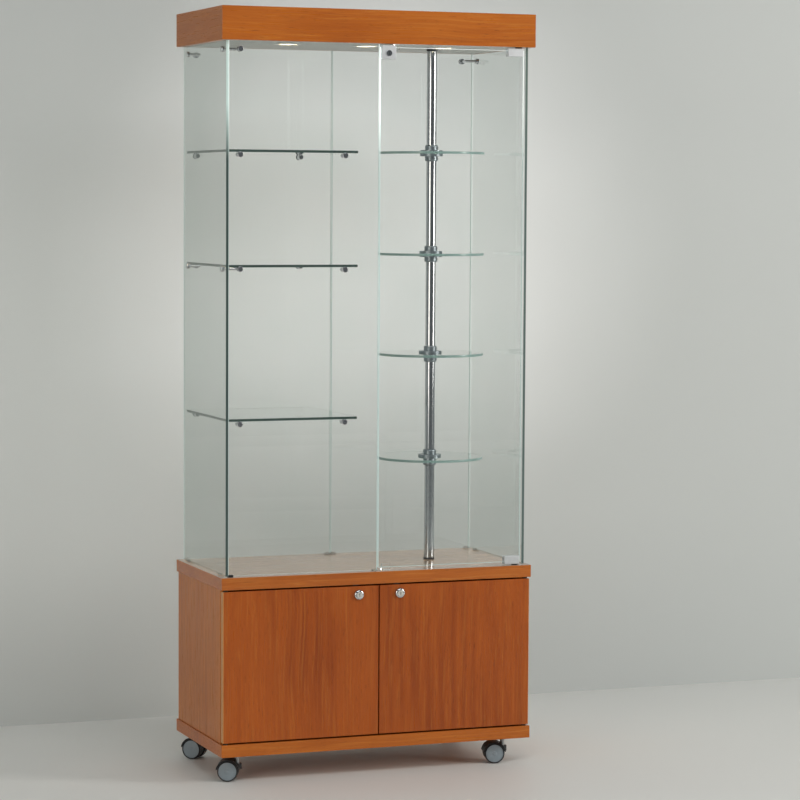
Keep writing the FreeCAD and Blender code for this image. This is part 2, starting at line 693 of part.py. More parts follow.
# Glass door: it swings about the axis through its two pivots.
DOOR_X = size.pane_split / 2
DOOR_END_X = INNER_X - size.glass_door_gap
PIVOT_X = DOOR_END_X - size.pivot_inset
PIVOT_Y = -GLASS_Y + size.pane / 2
DOOR_Z = DISPLAY_Z + size.glass_door_end
DOOR_TOP_Z = CEILING_Z - size.glass_door_end
SLOT_Y = -GLASS_Y - size.clamp_grip
SLOT_BACK_Y = -INNER_Y + size.clamp_grip


def hinge_clamp(name, low_z, high_z, slot_low_z, slot_high_z, pin_z):
    """Clamp round the edge of the glass, bored for its pivot, with two screws."""
    left = DOOR_END_X - size.clamp_end - size.clamp_length
    right = DOOR_END_X - size.clamp_end
    front = -GLASS_Y - size.clamp_cheek
    back = -INNER_Y + size.clamp_cheek
    blank = eased(box(f"{name}_blank", (left, front, low_z), (right, back, high_z)), size.edge_round)
    slot = box(f"{name}_slot", (left, SLOT_Y, slot_low_z), (right, SLOT_BACK_Y, slot_high_z))
    web = size.glass_door_end - size.pivot_flange - size.face_gap
    tools = [slot, rod(f"{name}_bore", size.pivot_radius + size.running_gap, (PIVOT_X, PIVOT_Y, pin_z), web)]
    screws = []
    middle = (left + right) / 2
    screw_z = (slot_low_z + slot_high_z) / 2
    for across_sign in (-1, 1):
        spot = (middle + across_sign * size.clamp_screw_spacing / 2, front, screw_z)
        depth = size.clamp_cheek - size.clamp_grip
        tools.append(rod(f"{name}_screw_hole", size.clamp_screw_radius + size.running_gap, spot, depth, "+y"))
        screws.append(rod(f"{name}_screw", size.clamp_screw_radius, spot, depth, "+y"))
    return [cut(name, blank, tools), *screws]


def glass_door():
    """Door pane, with a clamp at each end of its hinge edge."""
    blank = box("door_glass", (DOOR_X, -GLASS_Y, DOOR_Z), (DOOR_END_X, -INNER_Y, DOOR_TOP_Z))
    node(eased(blank, size.arris), "door_pane")
    low = DISPLAY_Z + size.pivot_flange + size.face_gap
    high = CEILING_Z - size.pivot_flange - size.face_gap
    low_end = low + size.clamp_height
    high_end = high - size.clamp_height
    lower = hinge_clamp("lower_clamp", low, low_end, DOOR_Z, low_end, low)
    upper = hinge_clamp("upper_clamp", high_end, high, high_end, DOOR_TOP_Z, DOOR_TOP_Z)
    node(group("clamp_set", lower + upper), "hinge_clamps")


def door_pivots():
    """Black flanged pivots on the display floor and under the ceiling."""
    pin = size.glass_door_end - size.face_gap
    profile = [
        (0, 0),
        (size.pivot_flange_radius, 0),
        (size.pivot_flange_radius, size.pivot_flange),
        (size.pivot_radius, size.pivot_flange),
        (size.pivot_radius, pin),
        (0, pin),
    ]
    lower = turned("floor_pivot", profile, (PIVOT_X, PIVOT_Y, DISPLAY_Z))
    upper = turned("ceiling_pivot", profile, (PIVOT_X, PIVOT_Y, CEILING_Z), "-z")
    node(group("door_pivot_pair", [lower, upper]), "door_pivots")


LOCK_TOP_Z = CEILING_Z - size.lock_drop
LOCK_LOW_Z = LOCK_TOP_Z - size.lock_height
LOCK_MIDDLE_X = DOOR_X + size.lock_width / 2
BOLT_Y = -INNER_Y + size.lock_rear / 2
GLASS_LOCK_Z = (LOCK_LOW_Z + DOOR_TOP_Z) / 2


def glass_door_lock():
    """Lock body over the corner of the door, its plug in front and its bolt behind."""
    front = -GLASS_Y - size.lock_front
    low = (DOOR_X, front, LOCK_LOW_Z)
    high = (DOOR_X + size.lock_width, -INNER_Y + size.lock_rear, LOCK_TOP_Z)
    blank = eased(box("lock_blank", low, high), size.edge_round)
    slot_high = (DOOR_X + size.lock_width, SLOT_BACK_Y, DOOR_TOP_Z + size.clamp_grip)
    slot = box("lock_slot", (DOOR_X, SLOT_Y, LOCK_LOW_Z), slot_high)
    plug_bore = size.plug_radius + size.running_gap
    bolt_bore = size.bolt_radius + size.running_gap
    tools = [
        slot,
        rod("lock_plug_bore", plug_bore, (LOCK_MIDDLE_X, front, GLASS_LOCK_Z), size.lock_front, "+y"),
        rod("lock_bolt_bore", bolt_bore, (LOCK_MIDDLE_X, BOLT_Y, LOCK_LOW_Z), size.lock_height),
    ]
    node(cut("lock_case", blank, tools), "door_lock_body")
    spot = (LOCK_MIDDLE_X, front - size.door_plug_proud, GLASS_LOCK_Z)
    length = size.lock_front + size.door_plug_proud - size.face_gap
    node(lock_plug("door_plug", size.plug_radius, length, spot), "door_lock_plug")
    spot = (LOCK_MIDDLE_X, BOLT_Y, LOCK_TOP_Z - size.face_gap - size.bolt_length)
    node(rod("door_bolt", size.bolt_radius, spot, size.bolt_length), "door_lock_bolt")


def door_stops():
    """Clear blocks inside the case that the closed door lies against."""
    front = -INNER_Y + size.face_gap
    back = front + size.stop_depth
    left = size.floor_stop_inset
    right = left + size.floor_stop_width
    high = DISPLAY_Z + size.floor_stop_height
    floor_stop = box("floor_stop", (left, front, DISPLAY_Z), (right, back, high))
    left = DOOR_X + size.lock_width + size.ceiling_stop_gap
    right = left + size.ceiling_stop_width
    low = CEILING_Z - size.ceiling_stop_height
    ceiling_stop = box("ceiling_stop", (left, front, low), (right, back, CEILING_Z))
    stops = [eased(floor_stop, size.edge_round), eased(ceiling_stop, size.edge_round)]
    node(group("stop_pair", stops), "door_stops")


# Turning column, which runs on a stub at each end.
COLUMN_X = INNER_X - size.column_side
FOOT_Z = DISPLAY_Z + size.bearing_height + size.face_gap
TUBE_Z = FOOT_Z + size.sleeve_height
TUBE_TOP_Z = CEILING_Z - size.bearing_height - size.face_gap
TUBE_BORE = size.tube_radius - size.tube_wall
SLEEVE_RADIUS = size.tube_radius + size.sleeve_wall
BEARING_RADIUS = size.tube_radius + size.bearing_reach
HUB_BORE = size.tube_radius + size.running_gap
HUB_RADIUS = size.tube_radius + size.hub_wall
HUB_FLANGE_RADIUS = HUB_RADIUS + size.hub_flange_reach
ROUND_RISES = {
    "one": size.round_rise_one,
    "two": size.round_rise_two,
    "three": size.round_rise_three,
    "four": size.round_rise_four,
}


def column():
    """Tube, spigots in its ends and the bearings that they turn on."""
    tube = [
        (TUBE_BORE, 0),
        (size.tube_radius, 0),
        (size.tube_radius, TUBE_TOP_Z - TUBE_Z),
        (TUBE_BORE, TUBE_TOP_Z - TUBE_Z),
    ]
    node(turned("column", tube, (COLUMN_X, 0, TUBE_Z)), "column_tube")
    fit = TUBE_BORE - size.running_gap
    bore = size.stub_radius + size.running_gap
    lower = [
        (bore, 0),
        (SLEEVE_RADIUS, 0),
        (SLEEVE_RADIUS, size.sleeve_height),
        (fit, size.sleeve_height),
        (fit, size.sleeve_height + size.spigot_length),
        (bore, size.sleeve_height + size.spigot_length),
    ]
    upper = [(bore, 0), (fit, 0), (fit, size.spigot_length), (bore, size.spigot_length)]
    foot = turned("foot_spigot", lower, (COLUMN_X, 0, FOOT_Z))
    head = turned("head_spigot", upper, (COLUMN_X, 0, TUBE_TOP_Z), "-z")
    node(group("spigot_pair", [foot, head]), "column_spigots")
    stub_end = size.bearing_height + size.face_gap + size.stub_length
    bearing = [
        (0, 0),
        (BEARING_RADIUS, 0),
        (BEARING_RADIUS, size.bearing_height),
        (size.stub_radius, size.bearing_height),
        (size.stub_radius, stub_end),
        (0, stub_end),
    ]
    floor_bearing = turned("floor_bearing", bearing, (COLUMN_X, 0, DISPLAY_Z))
    ceiling_bearing = turned("ceiling_bearing", bearing, (COLUMN_X, 0, CEILING_Z), "-z")
    node(group("bearing_pair", [floor_bearing, ceiling_bearing]), "column_bearings")


def hub_half(name, z, neck, along):
    """Half of a hub: a flange against the glass, a collar beyond it and a screw hole through the collar."""
    profile = [
        (HUB_BORE, -neck),
        (HUB_RADIUS - size.hub_neck, -neck),
        (HUB_RADIUS - size.hub_neck, 0),
        (HUB_FLANGE_RADIUS, 0),
        (HUB_FLANGE_RADIUS, size.hub_flange),
        (HUB_RADIUS, size.hub_flange),
        (HUB_RADIUS, size.hub_collar),
        (HUB_BORE, size.hub_collar),
    ]
    if neck == 0:
        profile = [(HUB_BORE, 0), *profile[3:]]
    half = turned(f"{name}_half", profile, (COLUMN_X, 0, z), along)
    soften(half, size.hub_round, ring_of(HUB_RADIUS, size.hub_collar))
    sign = 1 if along == "+z" else -1
    screw_z = z + sign * (size.hub_flange + size.hub_collar) / 2
    length = HUB_RADIUS - HUB_BORE + size.hub_screw_proud
    spot = (COLUMN_X + HUB_BORE, 0, screw_z)
    hole = rod(f"{name}_hole", size.hub_screw_radius + size.running_gap, spot, length, "+x")
    screw = rod(f"{name}_screw", size.hub_screw_radius, spot, length, "+x")
    return cut(name, half, [hole]), screw


def round_shelves():
    """Four round shelves, each held between the halves of its hub."""
    hubs = []
    screws = []
    glass = [
        (HUB_RADIUS, 0),
        (size.round_shelf_radius, 0),
        (size.round_shelf_radius, size.pane),
        (HUB_RADIUS, size.pane),
    ]
    for label, rise in ROUND_RISES.items():
        z = DISPLAY_Z + rise
        disc = turned(f"round_{label}", glass, (COLUMN_X, 0, z))
        soften(disc, size.arris, ring_of(size.round_shelf_radius, 0))
        soften(disc, size.arris, ring_of(size.round_shelf_radius, size.pane))
        node(disc, f"round_shelf_{label}")
        for name, level, neck, along in (
            (f"base_{label}", z, size.pane, "-z"),
            (f"cap_{label}", z + size.pane, 0, "+z"),
        ):
            half, screw = hub_half(name, level, neck, along)
            hubs.append(half)
            screws.append(screw)
    node(group("hub_set", hubs), "shelf_hubs")
    node(group("hub_screw_set", screws), "hub_screws")


# Canopy: mitred boards round a grooved ceiling panel, with a lid on top.
LAMP_XS = (-size.lamp_spacing, 0, size.lamp_spacing)
LAMP_Y = -size.lamp_forward
CANOPY_X = HALF_W - size.fascia
CANOPY_Y = HALF_D - size.fascia
COLLAR_RADIUS = size.lamp_radius + size.face_gap + size.rim_wall
RIM_RADIUS = COLLAR_RADIUS + size.rim_reach
RIM_LIP_RADIUS = size.lamp_radius - size.rim_lip
INLET_X = HALF_W - size.inlet_inset
INLET_Z = CEILING_Z + size.canopy_height / 2


def canopy_boards():
    """Front, back and end boards, mitred at the corners."""
    outer = {side: (side * HALF_W, side * CANOPY_X) for side in SIDES.values()}
    boards = {}
    for label, end in (("front", -1), ("back", 1)):
        corners = [
            (-HALF_W, end * HALF_D),
            (HALF_W, end * HALF_D),
            (CANOPY_X, end * CANOPY_Y),
            (-CANOPY_X, end * CANOPY_Y),
        ]
        boards[label] = padded(f"{label}_board", corners, size.canopy_height, (0, 0, CEILING_Z))
        soften(boards[label], size.edge_round, longer_than(size.case_width - size.edge_round))
    node(boards["front"], "canopy_front")
    spot = (INLET_X, CANOPY_Y, INLET_Z)
    hole = rod("inlet_hole", size.inlet_radius + size.running_gap, spot, size.fascia, "+y")
    node(cut("back_board_drilled", boards["back"], [hole]), "canopy_back")
    ends = []
    for side, (far, near) in outer.items():
        corners = [(far, -HALF_D), (far, HALF_D), (near, CANOPY_Y), (near, -CANOPY_Y)]
        end_board = padded("end_board", corners, size.canopy_height, (0, 0, CEILING_Z))
        ends.append(soften(end_board, size.edge_round, longer_than(size.case_depth - size.edge_round)))
    node(group("end_boards", ends), "canopy_ends")


def ceiling_panel():
    """Pale panel, grooved for the panes, with holes for the downlights and the lock bolt."""
    high = (CANOPY_X, CANOPY_Y, CEILING_Z + size.ceiling)
    blank = box("ceiling_blank", (-CANOPY_X, -CANOPY_Y, CEILING_Z), high)
    play = size.face_gap

    def groove(name, left, near, right, far):
        return box(name, (left - play, near - play, CEILING_Z), (right + play, far + play, PANE_TOP_Z))

    tools = [
        groove("left_groove", -GLASS_X, -GLASS_Y, -INNER_X, GLASS_Y),
        groove("right_groove", INNER_X, -GLASS_Y, GLASS_X, GLASS_Y),
        groove("front_groove", -INNER_X, -GLASS_Y, -size.pane_split / 2, -INNER_Y),
        groove("back_groove", -INNER_X, INNER_Y, INNER_X, GLASS_Y),
    ]
    for x in LAMP_XS:
        tools.append(rod("lamp_hole", COLLAR_RADIUS + size.face_gap, (x, LAMP_Y, CEILING_Z), size.ceiling))
    bolt_hole = size.bolt_radius + size.bolt_hole_gap
    tools.append(rod("bolt_hole", bolt_hole, (LOCK_MIDDLE_X, BOLT_Y, CEILING_Z), size.bolt_hole_depth))
    node(cut("ceiling_cut", blank, tools), "ceiling_panel")
    low = (-CANOPY_X, -CANOPY_Y, TOP_Z - size.lid)
    node(box("lid_board", low, (CANOPY_X, CANOPY_Y, TOP_Z)), "canopy_lid")


def downlights():
    """Recessed rims and the reflector lamps that lie in them."""
    rim = [
        (RIM_LIP_RADIUS, -size.rim_height),
        (RIM_RADIUS, -size.rim_height),
        (RIM_RADIUS, 0),
        (COLLAR_RADIUS, 0),
        (COLLAR_RADIUS, size.rim_collar),
        (COLLAR_RADIUS - size.rim_wall, size.rim_collar),
        (COLLAR_RADIUS - size.rim_wall, 0),
        (RIM_LIP_RADIUS, 0),
    ]
    neck_z = size.lamp_rim + size.lamp_cone
    lamp = [
        (0, 0),
        (size.lamp_radius, 0),
        (size.lamp_radius, size.lamp_rim),
        (size.lamp_neck_radius, neck_z),
        (size.lamp_neck_radius, neck_z + size.lamp_neck),
        (0, neck_z + size.lamp_neck),
    ]
    rims = []
    lamps = []
    for x in LAMP_XS:
        piece = turned("rim", rim, (x, LAMP_Y, CEILING_Z))
        rims.append(soften(piece, size.edge_round, ring_of(RIM_RADIUS, -size.rim_height)))
        lamps.append(turned("lamp", lamp, (x, LAMP_Y, CEILING_Z)))
    node(group("rim_set", rims), "lamp_rims")
    node(group("lamp_set", lamps), "lamps")


def canopy_fittings():
    """Lamp transformer on the ceiling panel and the power inlet in the back board."""
    low_z = CEILING_Z + size.ceiling
    half_l = size.transformer_length / 2
    half_w = size.transformer_width / 2
    middle = size.lamp_spacing / 2
    case_low = (middle - half_l, half_w, low_z)
    case = box("transformer_case", case_low, (middle + half_l, 3 * half_w, low_z + size.transformer_height))
    foot_reach = half_l + size.foot_length
    foot_low = (middle - foot_reach, half_w * 1.5, low_z)
    feet = box("transformer_feet", foot_low, (middle + foot_reach, half_w * 2.5, low_z + size.foot_height))
    node(fuse("transformer", [eased(case, size.edge_round), feet]), "lamp_transformer")
    profile = [
        (size.inlet_bore, -size.inlet_flange),
        (size.inlet_flange_radius, -size.inlet_flange),
        (size.inlet_flange_radius, 0),
        (size.inlet_radius, 0),
        (size.inlet_radius, size.fascia),
        (size.inlet_flange_radius - size.edge_round, size.fascia),
        (size.inlet_flange_radius - size.edge_round, size.fascia + size.inlet_flange),
        (size.inlet_bore, size.fascia + size.inlet_flange),
    ]
    inlet = turned("inlet", profile, (INLET_X, HALF_D, INLET_Z), "-y")
    node(soften(inlet, size.edge_round, ring_of(size.inlet_flange_radius, -size.inlet_flange)), "power_inlet")


# Castors: each trails its wheels to the left, turned by the angle that it swivelled as the case was rolled.
SWIVELS = {
    "front_left": size.front_left_swivel,
    "front_right": size.front_right_swivel,
    "back_left": size.back_left_swivel,
    "back_right": size.back_right_swivel,
}
HOOD_Z = AXLE_Z + size.hood_drop
BOSS_Z = HOOD_Z + size.hood_boss
HALF_GAP = size.wheel_gap / 2
SPACE_START = HALF_GAP - size.hood_clearance
SPACE_END = HALF_GAP + size.wheel_width + size.face_gap
HOOD_HALF = HALF_GAP + size.wheel_width - size.hood_setback


def swivelled(piece, x, y, angle):
    """Turn a finished piece clockwise about an upright axis by degrees on the sheet."""
    turn = f"{angle.text} * 1 deg"
    cosine = Size(f"cos({turn})", math.cos(math.radians(angle.value)))
    sine = Size(f"sin({turn})", math.sin(math.radians(angle.value)))
    down = FreeCAD.Vector(0, 0, -1)
    piece.Placement = FreeCAD.Placement(FreeCAD.Vector(), FreeCAD.Rotation(down, angle.value))
    bind(piece, "Placement.Rotation.Angle", Size(turn, angle.value))
    bind(piece, "Placement.Base.x", x - (x * cosine + y * sine))
    bind(piece, "Placement.Base.y", y - (y * cosine - x * sine))
    return piece


def castor_stems():
    """Turned stems in the board, each with a collar, a shoulder on the hood and a swivel pin."""
    neck = CASTOR_TOP - BOSS_Z - size.face_gap
    top = neck + size.stem_reach - size.face_gap
    profile = [
        (0, -size.king_pin_length),
        (size.king_pin_radius, -size.king_pin_length),
        (size.king_pin_radius, 0),
        (size.stem_shoulder_radius, 0),
        (size.stem_shoulder_radius, size.stem_shoulder),
        (size.stem_radius, size.stem_shoulder),
        (size.stem_radius, neck - size.stem_collar),
        (size.stem_collar_radius, neck - size.stem_collar),
        (size.stem_collar_radius, neck),
        (size.stem_radius, neck),
        (size.stem_radius, top),
        (0, top),
    ]
    stems = []
    for label, (side, end) in CASTORS.items():
        spot = (side * CASTOR_X, end * CASTOR_Y, BOSS_Z + size.face_gap)
        stem = turned(f"{label}_stem", profile, spot)
        stems.append(soften(stem, size.edge_round, ring_of(size.stem_collar_radius, neck - size.stem_collar)))
    node(group("stem_set", stems), "castor_stems")


def castor_hood(label, x, y):
    """Hood over the two treads, with a web for the axle, a boss for the swivel pin and room for the stem."""
    wheel_x = x - size.castor_trail
    width = 2 * HOOD_HALF
    profile = [(0, 0), (HOOD_RADIUS, 0), (HOOD_RADIUS, width), (0, width)]
    cover = turned(f"{label}_cover", profile, (wheel_x, y - HOOD_HALF, AXLE_Z), "+y")
    soften(cover, size.hood_round, ring_of(HOOD_RADIUS, 0))
    soften(cover, size.hood_round, ring_of(HOOD_RADIUS, width))
    shade_low = (wheel_x - HOOD_RADIUS, y - HOOD_HALF, HOOD_Z)
    shade = box(f"{label}_shade", shade_low, (wheel_x + HOOD_RADIUS, y + HOOD_HALF, AXLE_Z + HOOD_RADIUS))
    dome = doc.addObject("Part::Common", f"{label}_dome")
    dome.Base = cover
    dome.Tool = shade
    half_web = size.hood_web / 2
    web_low = (wheel_x - half_web, y - SPACE_START, AXLE_Z - half_web)
    web = box(f"{label}_web", web_low, (wheel_x + half_web, y + SPACE_START, HOOD_Z + half_web))
    boss = rod(f"{label}_boss", size.hood_boss_radius, (x, y, HOOD_Z), size.hood_boss)
    pin_room = size.king_pin_length
    pin_bore = size.king_pin_radius + size.running_gap
    axle_bore = size.axle_radius + size.running_gap
    axle_start = (wheel_x, y - SPACE_START, AXLE_Z)
    stem_room = size.stem_shoulder_radius + size.hood_clearance
    hood_above = AXLE_Z + HOOD_RADIUS - BOSS_Z
    tools = [
        rod(f"{label}_pin_bore", pin_bore, (x, y, BOSS_Z - pin_room), pin_room),
        rod(f"{label}_stem_room", stem_room, (x, y, BOSS_Z), hood_above),
        rod(f"{label}_axle_bore", axle_bore, axle_start, 2 * SPACE_START, "+y"),
    ]
    for sign, along in ((-1, "-y"), (1, "+y")):
        start = (wheel_x, y + sign * SPACE_START, AXLE_Z)
        tools.append(rod(f"{label}_wheel_space", WHEEL_SPACE, start, SPACE_END - SPACE_START, along))
    return cut(f"{label}_hood_cut", fuse(f"{label}_hood_solid", [dome, web, boss]), tools)


def castor_wheels(label, x, y):
    """Two dished wheels on one axle."""
    wheel_x = x - size.castor_trail
    bore = size.axle_radius + size.running_gap
    deep = size.axle_reach + size.face_gap
    width = size.wheel_width
    wheel = [
        (bore, 0),
        (size.wheel_radius, 0),
        (size.wheel_radius, width),
        (size.wheel_dish_radius, width),
        (size.wheel_dish_radius, width - size.wheel_dish),
        (0, width - size.wheel_dish),
        (0, deep),
        (bore, deep),
    ]
    pieces = []
    for sign, along in ((-1, "-y"), (1, "+y")):
        disc = turned(f"{label}_wheel", wheel, (wheel_x, y + sign * HALF_GAP, AXLE_Z), along)
        soften(disc, size.wheel_round, ring_of(size.wheel_radius, 0))
        pieces.append(soften(disc, size.wheel_round, ring_of(size.wheel_radius, width)))
    half = HALF_GAP + size.axle_reach
    pieces.append(rod(f"{label}_axle", size.axle_radius, (wheel_x, y - half, AXLE_Z), 2 * half, "+y"))
    return group(f"{label}_wheel_set", pieces)


def castors():
    """Four castors, each swivelled about its own stem."""
    castor_stems()
    for label, (side, end) in CASTORS.items():
        x = side * CASTOR_X
        y = end * CASTOR_Y
        node(swivelled(castor_hood(label, x, y), x, y, SWIVELS[label]), f"{label}_castor_hood")
        node(swivelled(castor_wheels(label, x, y), x, y, SWIVELS[label]), f"{label}_castor_wheels")


def write_parts():
    """Refuse a failed object or a bad shape, then write one STEP file per node."""
    doc.recompute()
    failed = [item.Label for item in doc.Objects if {"Invalid", "Error"} & set(item.State)]
    if failed:
        raise RuntimeError(f"these objects failed: {failed}")
    for piece in nodes:
        if piece.Shape.isNull() or not piece.Shape.isValid():
            raise RuntimeError(f"{piece.Label} has no valid shape")
    os.makedirs("parts", exist_ok=True)
    for piece in nodes:
        piece.Shape.exportStep(os.path.join("parts", f"{piece.Label}.step"))
    print(f"wrote {len(nodes)} nodes, {sum(len(piece.Shape.Solids) for piece in nodes)} solids")


base_boards()
cupboard_walls()
base_pivots()
base_doors()
base_locks()
shelf_pegs()
corner_connectors()
panes()
pane_shoes()
left_shelves()
glass_door()
door_pivots()
glass_door_lock()
door_stops()
column()
round_shelves()
canopy_boards()
ceiling_panel()
downlights()
canopy_fittings()
castors()
write_parts()
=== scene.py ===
"""Looks of a glass display case on castors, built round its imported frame.

Lengths are millimetres, apart from the studio's and those whose names end in _m, which are metres.
"""

import logging
import math
from dataclasses import dataclass
from enum import Enum
from typing import Any, Iterable, Optional, Union

import bmesh
import bpy
import numpy as np
from mathutils import Euler, Matrix, Vector


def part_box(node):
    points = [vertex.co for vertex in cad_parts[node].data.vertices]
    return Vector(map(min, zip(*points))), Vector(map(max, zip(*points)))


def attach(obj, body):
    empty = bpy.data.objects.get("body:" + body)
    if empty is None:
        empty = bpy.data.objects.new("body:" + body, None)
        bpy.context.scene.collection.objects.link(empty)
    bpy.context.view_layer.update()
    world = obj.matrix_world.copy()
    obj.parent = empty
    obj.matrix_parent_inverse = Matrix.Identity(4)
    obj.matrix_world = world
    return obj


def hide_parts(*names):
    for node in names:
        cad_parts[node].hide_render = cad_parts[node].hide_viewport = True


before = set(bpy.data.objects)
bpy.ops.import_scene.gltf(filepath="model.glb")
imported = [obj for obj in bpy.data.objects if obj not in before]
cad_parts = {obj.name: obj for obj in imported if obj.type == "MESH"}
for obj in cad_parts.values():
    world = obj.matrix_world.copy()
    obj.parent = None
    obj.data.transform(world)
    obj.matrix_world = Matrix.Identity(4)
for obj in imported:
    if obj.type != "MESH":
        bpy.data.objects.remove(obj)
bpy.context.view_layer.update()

LOG = logging.getLogger("display_case")
MM = 0.001

Grid = tuple[np.ndarray, np.ndarray]
Spot = tuple[float, float, float]
Place = tuple[float, float]
Colour = tuple[float, float, float, float]
Side = tuple[int, int]
Tree = bpy.types.NodeTree
Node = bpy.types.Node
Socket = bpy.types.NodeSocket
# A tone laid where a value rises from a low to a high bound, with its share at the high one.
Layer = tuple[Union[Node, Socket], float, float, float, str]

UP: Spot = (0.0, 0.0, 1.0)
# Sides of a sheet: the axis that an edge faces along, with -1 or 1 for its end.
LEFT_RIGHT = ((0, -1), (0, 1))
FRONT_BACK = ((1, -1), (1, 1))
BOTTOM_TOP = ((2, -1), (2, 1))
# The Mix node repeats its socket names for each type of data; these are its colour sockets.
SHARE, FIRST, SECOND = 0, 6, 7
# Most values of a noise lie between these two.
NOISE_LOW, NOISE_HIGH = 0.3, 0.7
# One ring of the wave texture is this wide at a scale of one.
WAVE_RING_M = 0.314
# Bars over ground edges of glass: how far they stand proud, reach in and stop short, and easing.
EDGE_PROUD, EDGE_DEPTH, EDGE_END, EDGE_EASE = 0.04, 0.6, 0.3, 0.3
# Points nearer than this become one.
MERGE_M = 1e-6


def linear(hex_colour: str) -> Colour:
    """Turn an sRGB hex colour into linear light.

    Args:
        hex_colour: Six hex digits after a hash.

    Returns:
        Linear red, green and blue, and an alpha of one.
    """
    parts = np.array([int(hex_colour[start:start + 2], 16) for start in (1, 3, 5)]) / 255.0
    light = np.where(parts <= 0.04045, parts / 12.92, ((parts + 0.055) / 1.055) ** 2.4)
    return (float(light[0]), float(light[1]), float(light[2]), 1.0)


def add(tree: Tree, kind: str, inputs: Optional[dict[Any, Any]] = None, **settings: Any) -> Node:
    """Add a node with its settings, and fill or link its inputs.

    Args:
        tree: Node tree that takes the node.
        kind: Type name of the node.
        inputs: Socket name or number, with a constant, an output socket that is linked to it, or a
            node whose first output in use is linked to it.
        settings: Properties of the node itself.

    Returns:
        The new node.
    """
    node = tree.nodes.new(kind)
    for key, value in settings.items():
        setattr(node, key, value)
    for key, value in (inputs or {}).items():
        if isinstance(value, Node):
            value = next(output for output in value.outputs if output.enabled)
        if isinstance(value, Socket):
            tree.links.new(value, node.inputs[key])
        else:
            node.inputs[key].default_value = value
    return node


class GrainRun(Enum):
    """Axis that the wood grain follows, with the turn that lays it along the pattern's Z."""

    ACROSS = (0.0, -math.pi / 2, 0.0)
    DEEP = (math.pi / 2, 0.0, 0.0)
    UPRIGHT = (0.0, 0.0, 0.0)


class Streak(Enum):
    """Kind of streak along the grain: its width and length, and its octaves of finer streaks.

    Fibres are about 0.3 mm wide and flecks 0.4 mm; both are drawn wider so that they show.
    """

    FIBRE = (3.0, 170.0, 4.0)
    BAND = (11.0, 430.0, 3.0)
    THREAD = (5.0, 260.0, 2.0)
    CLOUD = (110.0, 340.0, 2.0)
    FIGURE = (150.0, 380.0, 0.0)
    FLECK = (2.5, 26.0, 2.0)


@dataclass(frozen=True)
class Finish:
    """A surface finish that becomes one material, named for what it is."""

    name: str

    def material(self) -> bpy.types.Material:
        """Return the finish's material, painted on first use."""
        found = bpy.data.materials.get(self.name)
        if found is None:
            found = bpy.data.materials.new(self.name)
            found.use_nodes = True
            found.node_tree.nodes.clear()
            add(found.node_tree, "ShaderNodeOutputMaterial", self.paint(found.node_tree))
        return found

    def paint(self, tree: Tree) -> dict[str, Node]:
        """Fill the node tree, and return what feeds its output; each finish has its own."""
        raise NotImplementedError

    def speckle(self, tree: Tree, size_mm: float, detail: float = 3.0) -> Node:
        """Noise whose blots have a real size.

        Args:
            tree: Node tree that takes the noise.
            size_mm: Width of a blot.
            detail: Octaves of finer noise.

        Returns:
            The noise, from zero to one.
        """
        place = add(tree, "ShaderNodeTexCoord").outputs["Object"]
        scale = Vector((1.0 / (size_mm * MM),) * 3)
        spread = add(tree, "ShaderNodeMapping", {"Vector": place, "Scale": scale})
        return add(tree, "ShaderNodeTexNoise", {"Vector": spread, "Scale": 1.0, "Detail": detail})


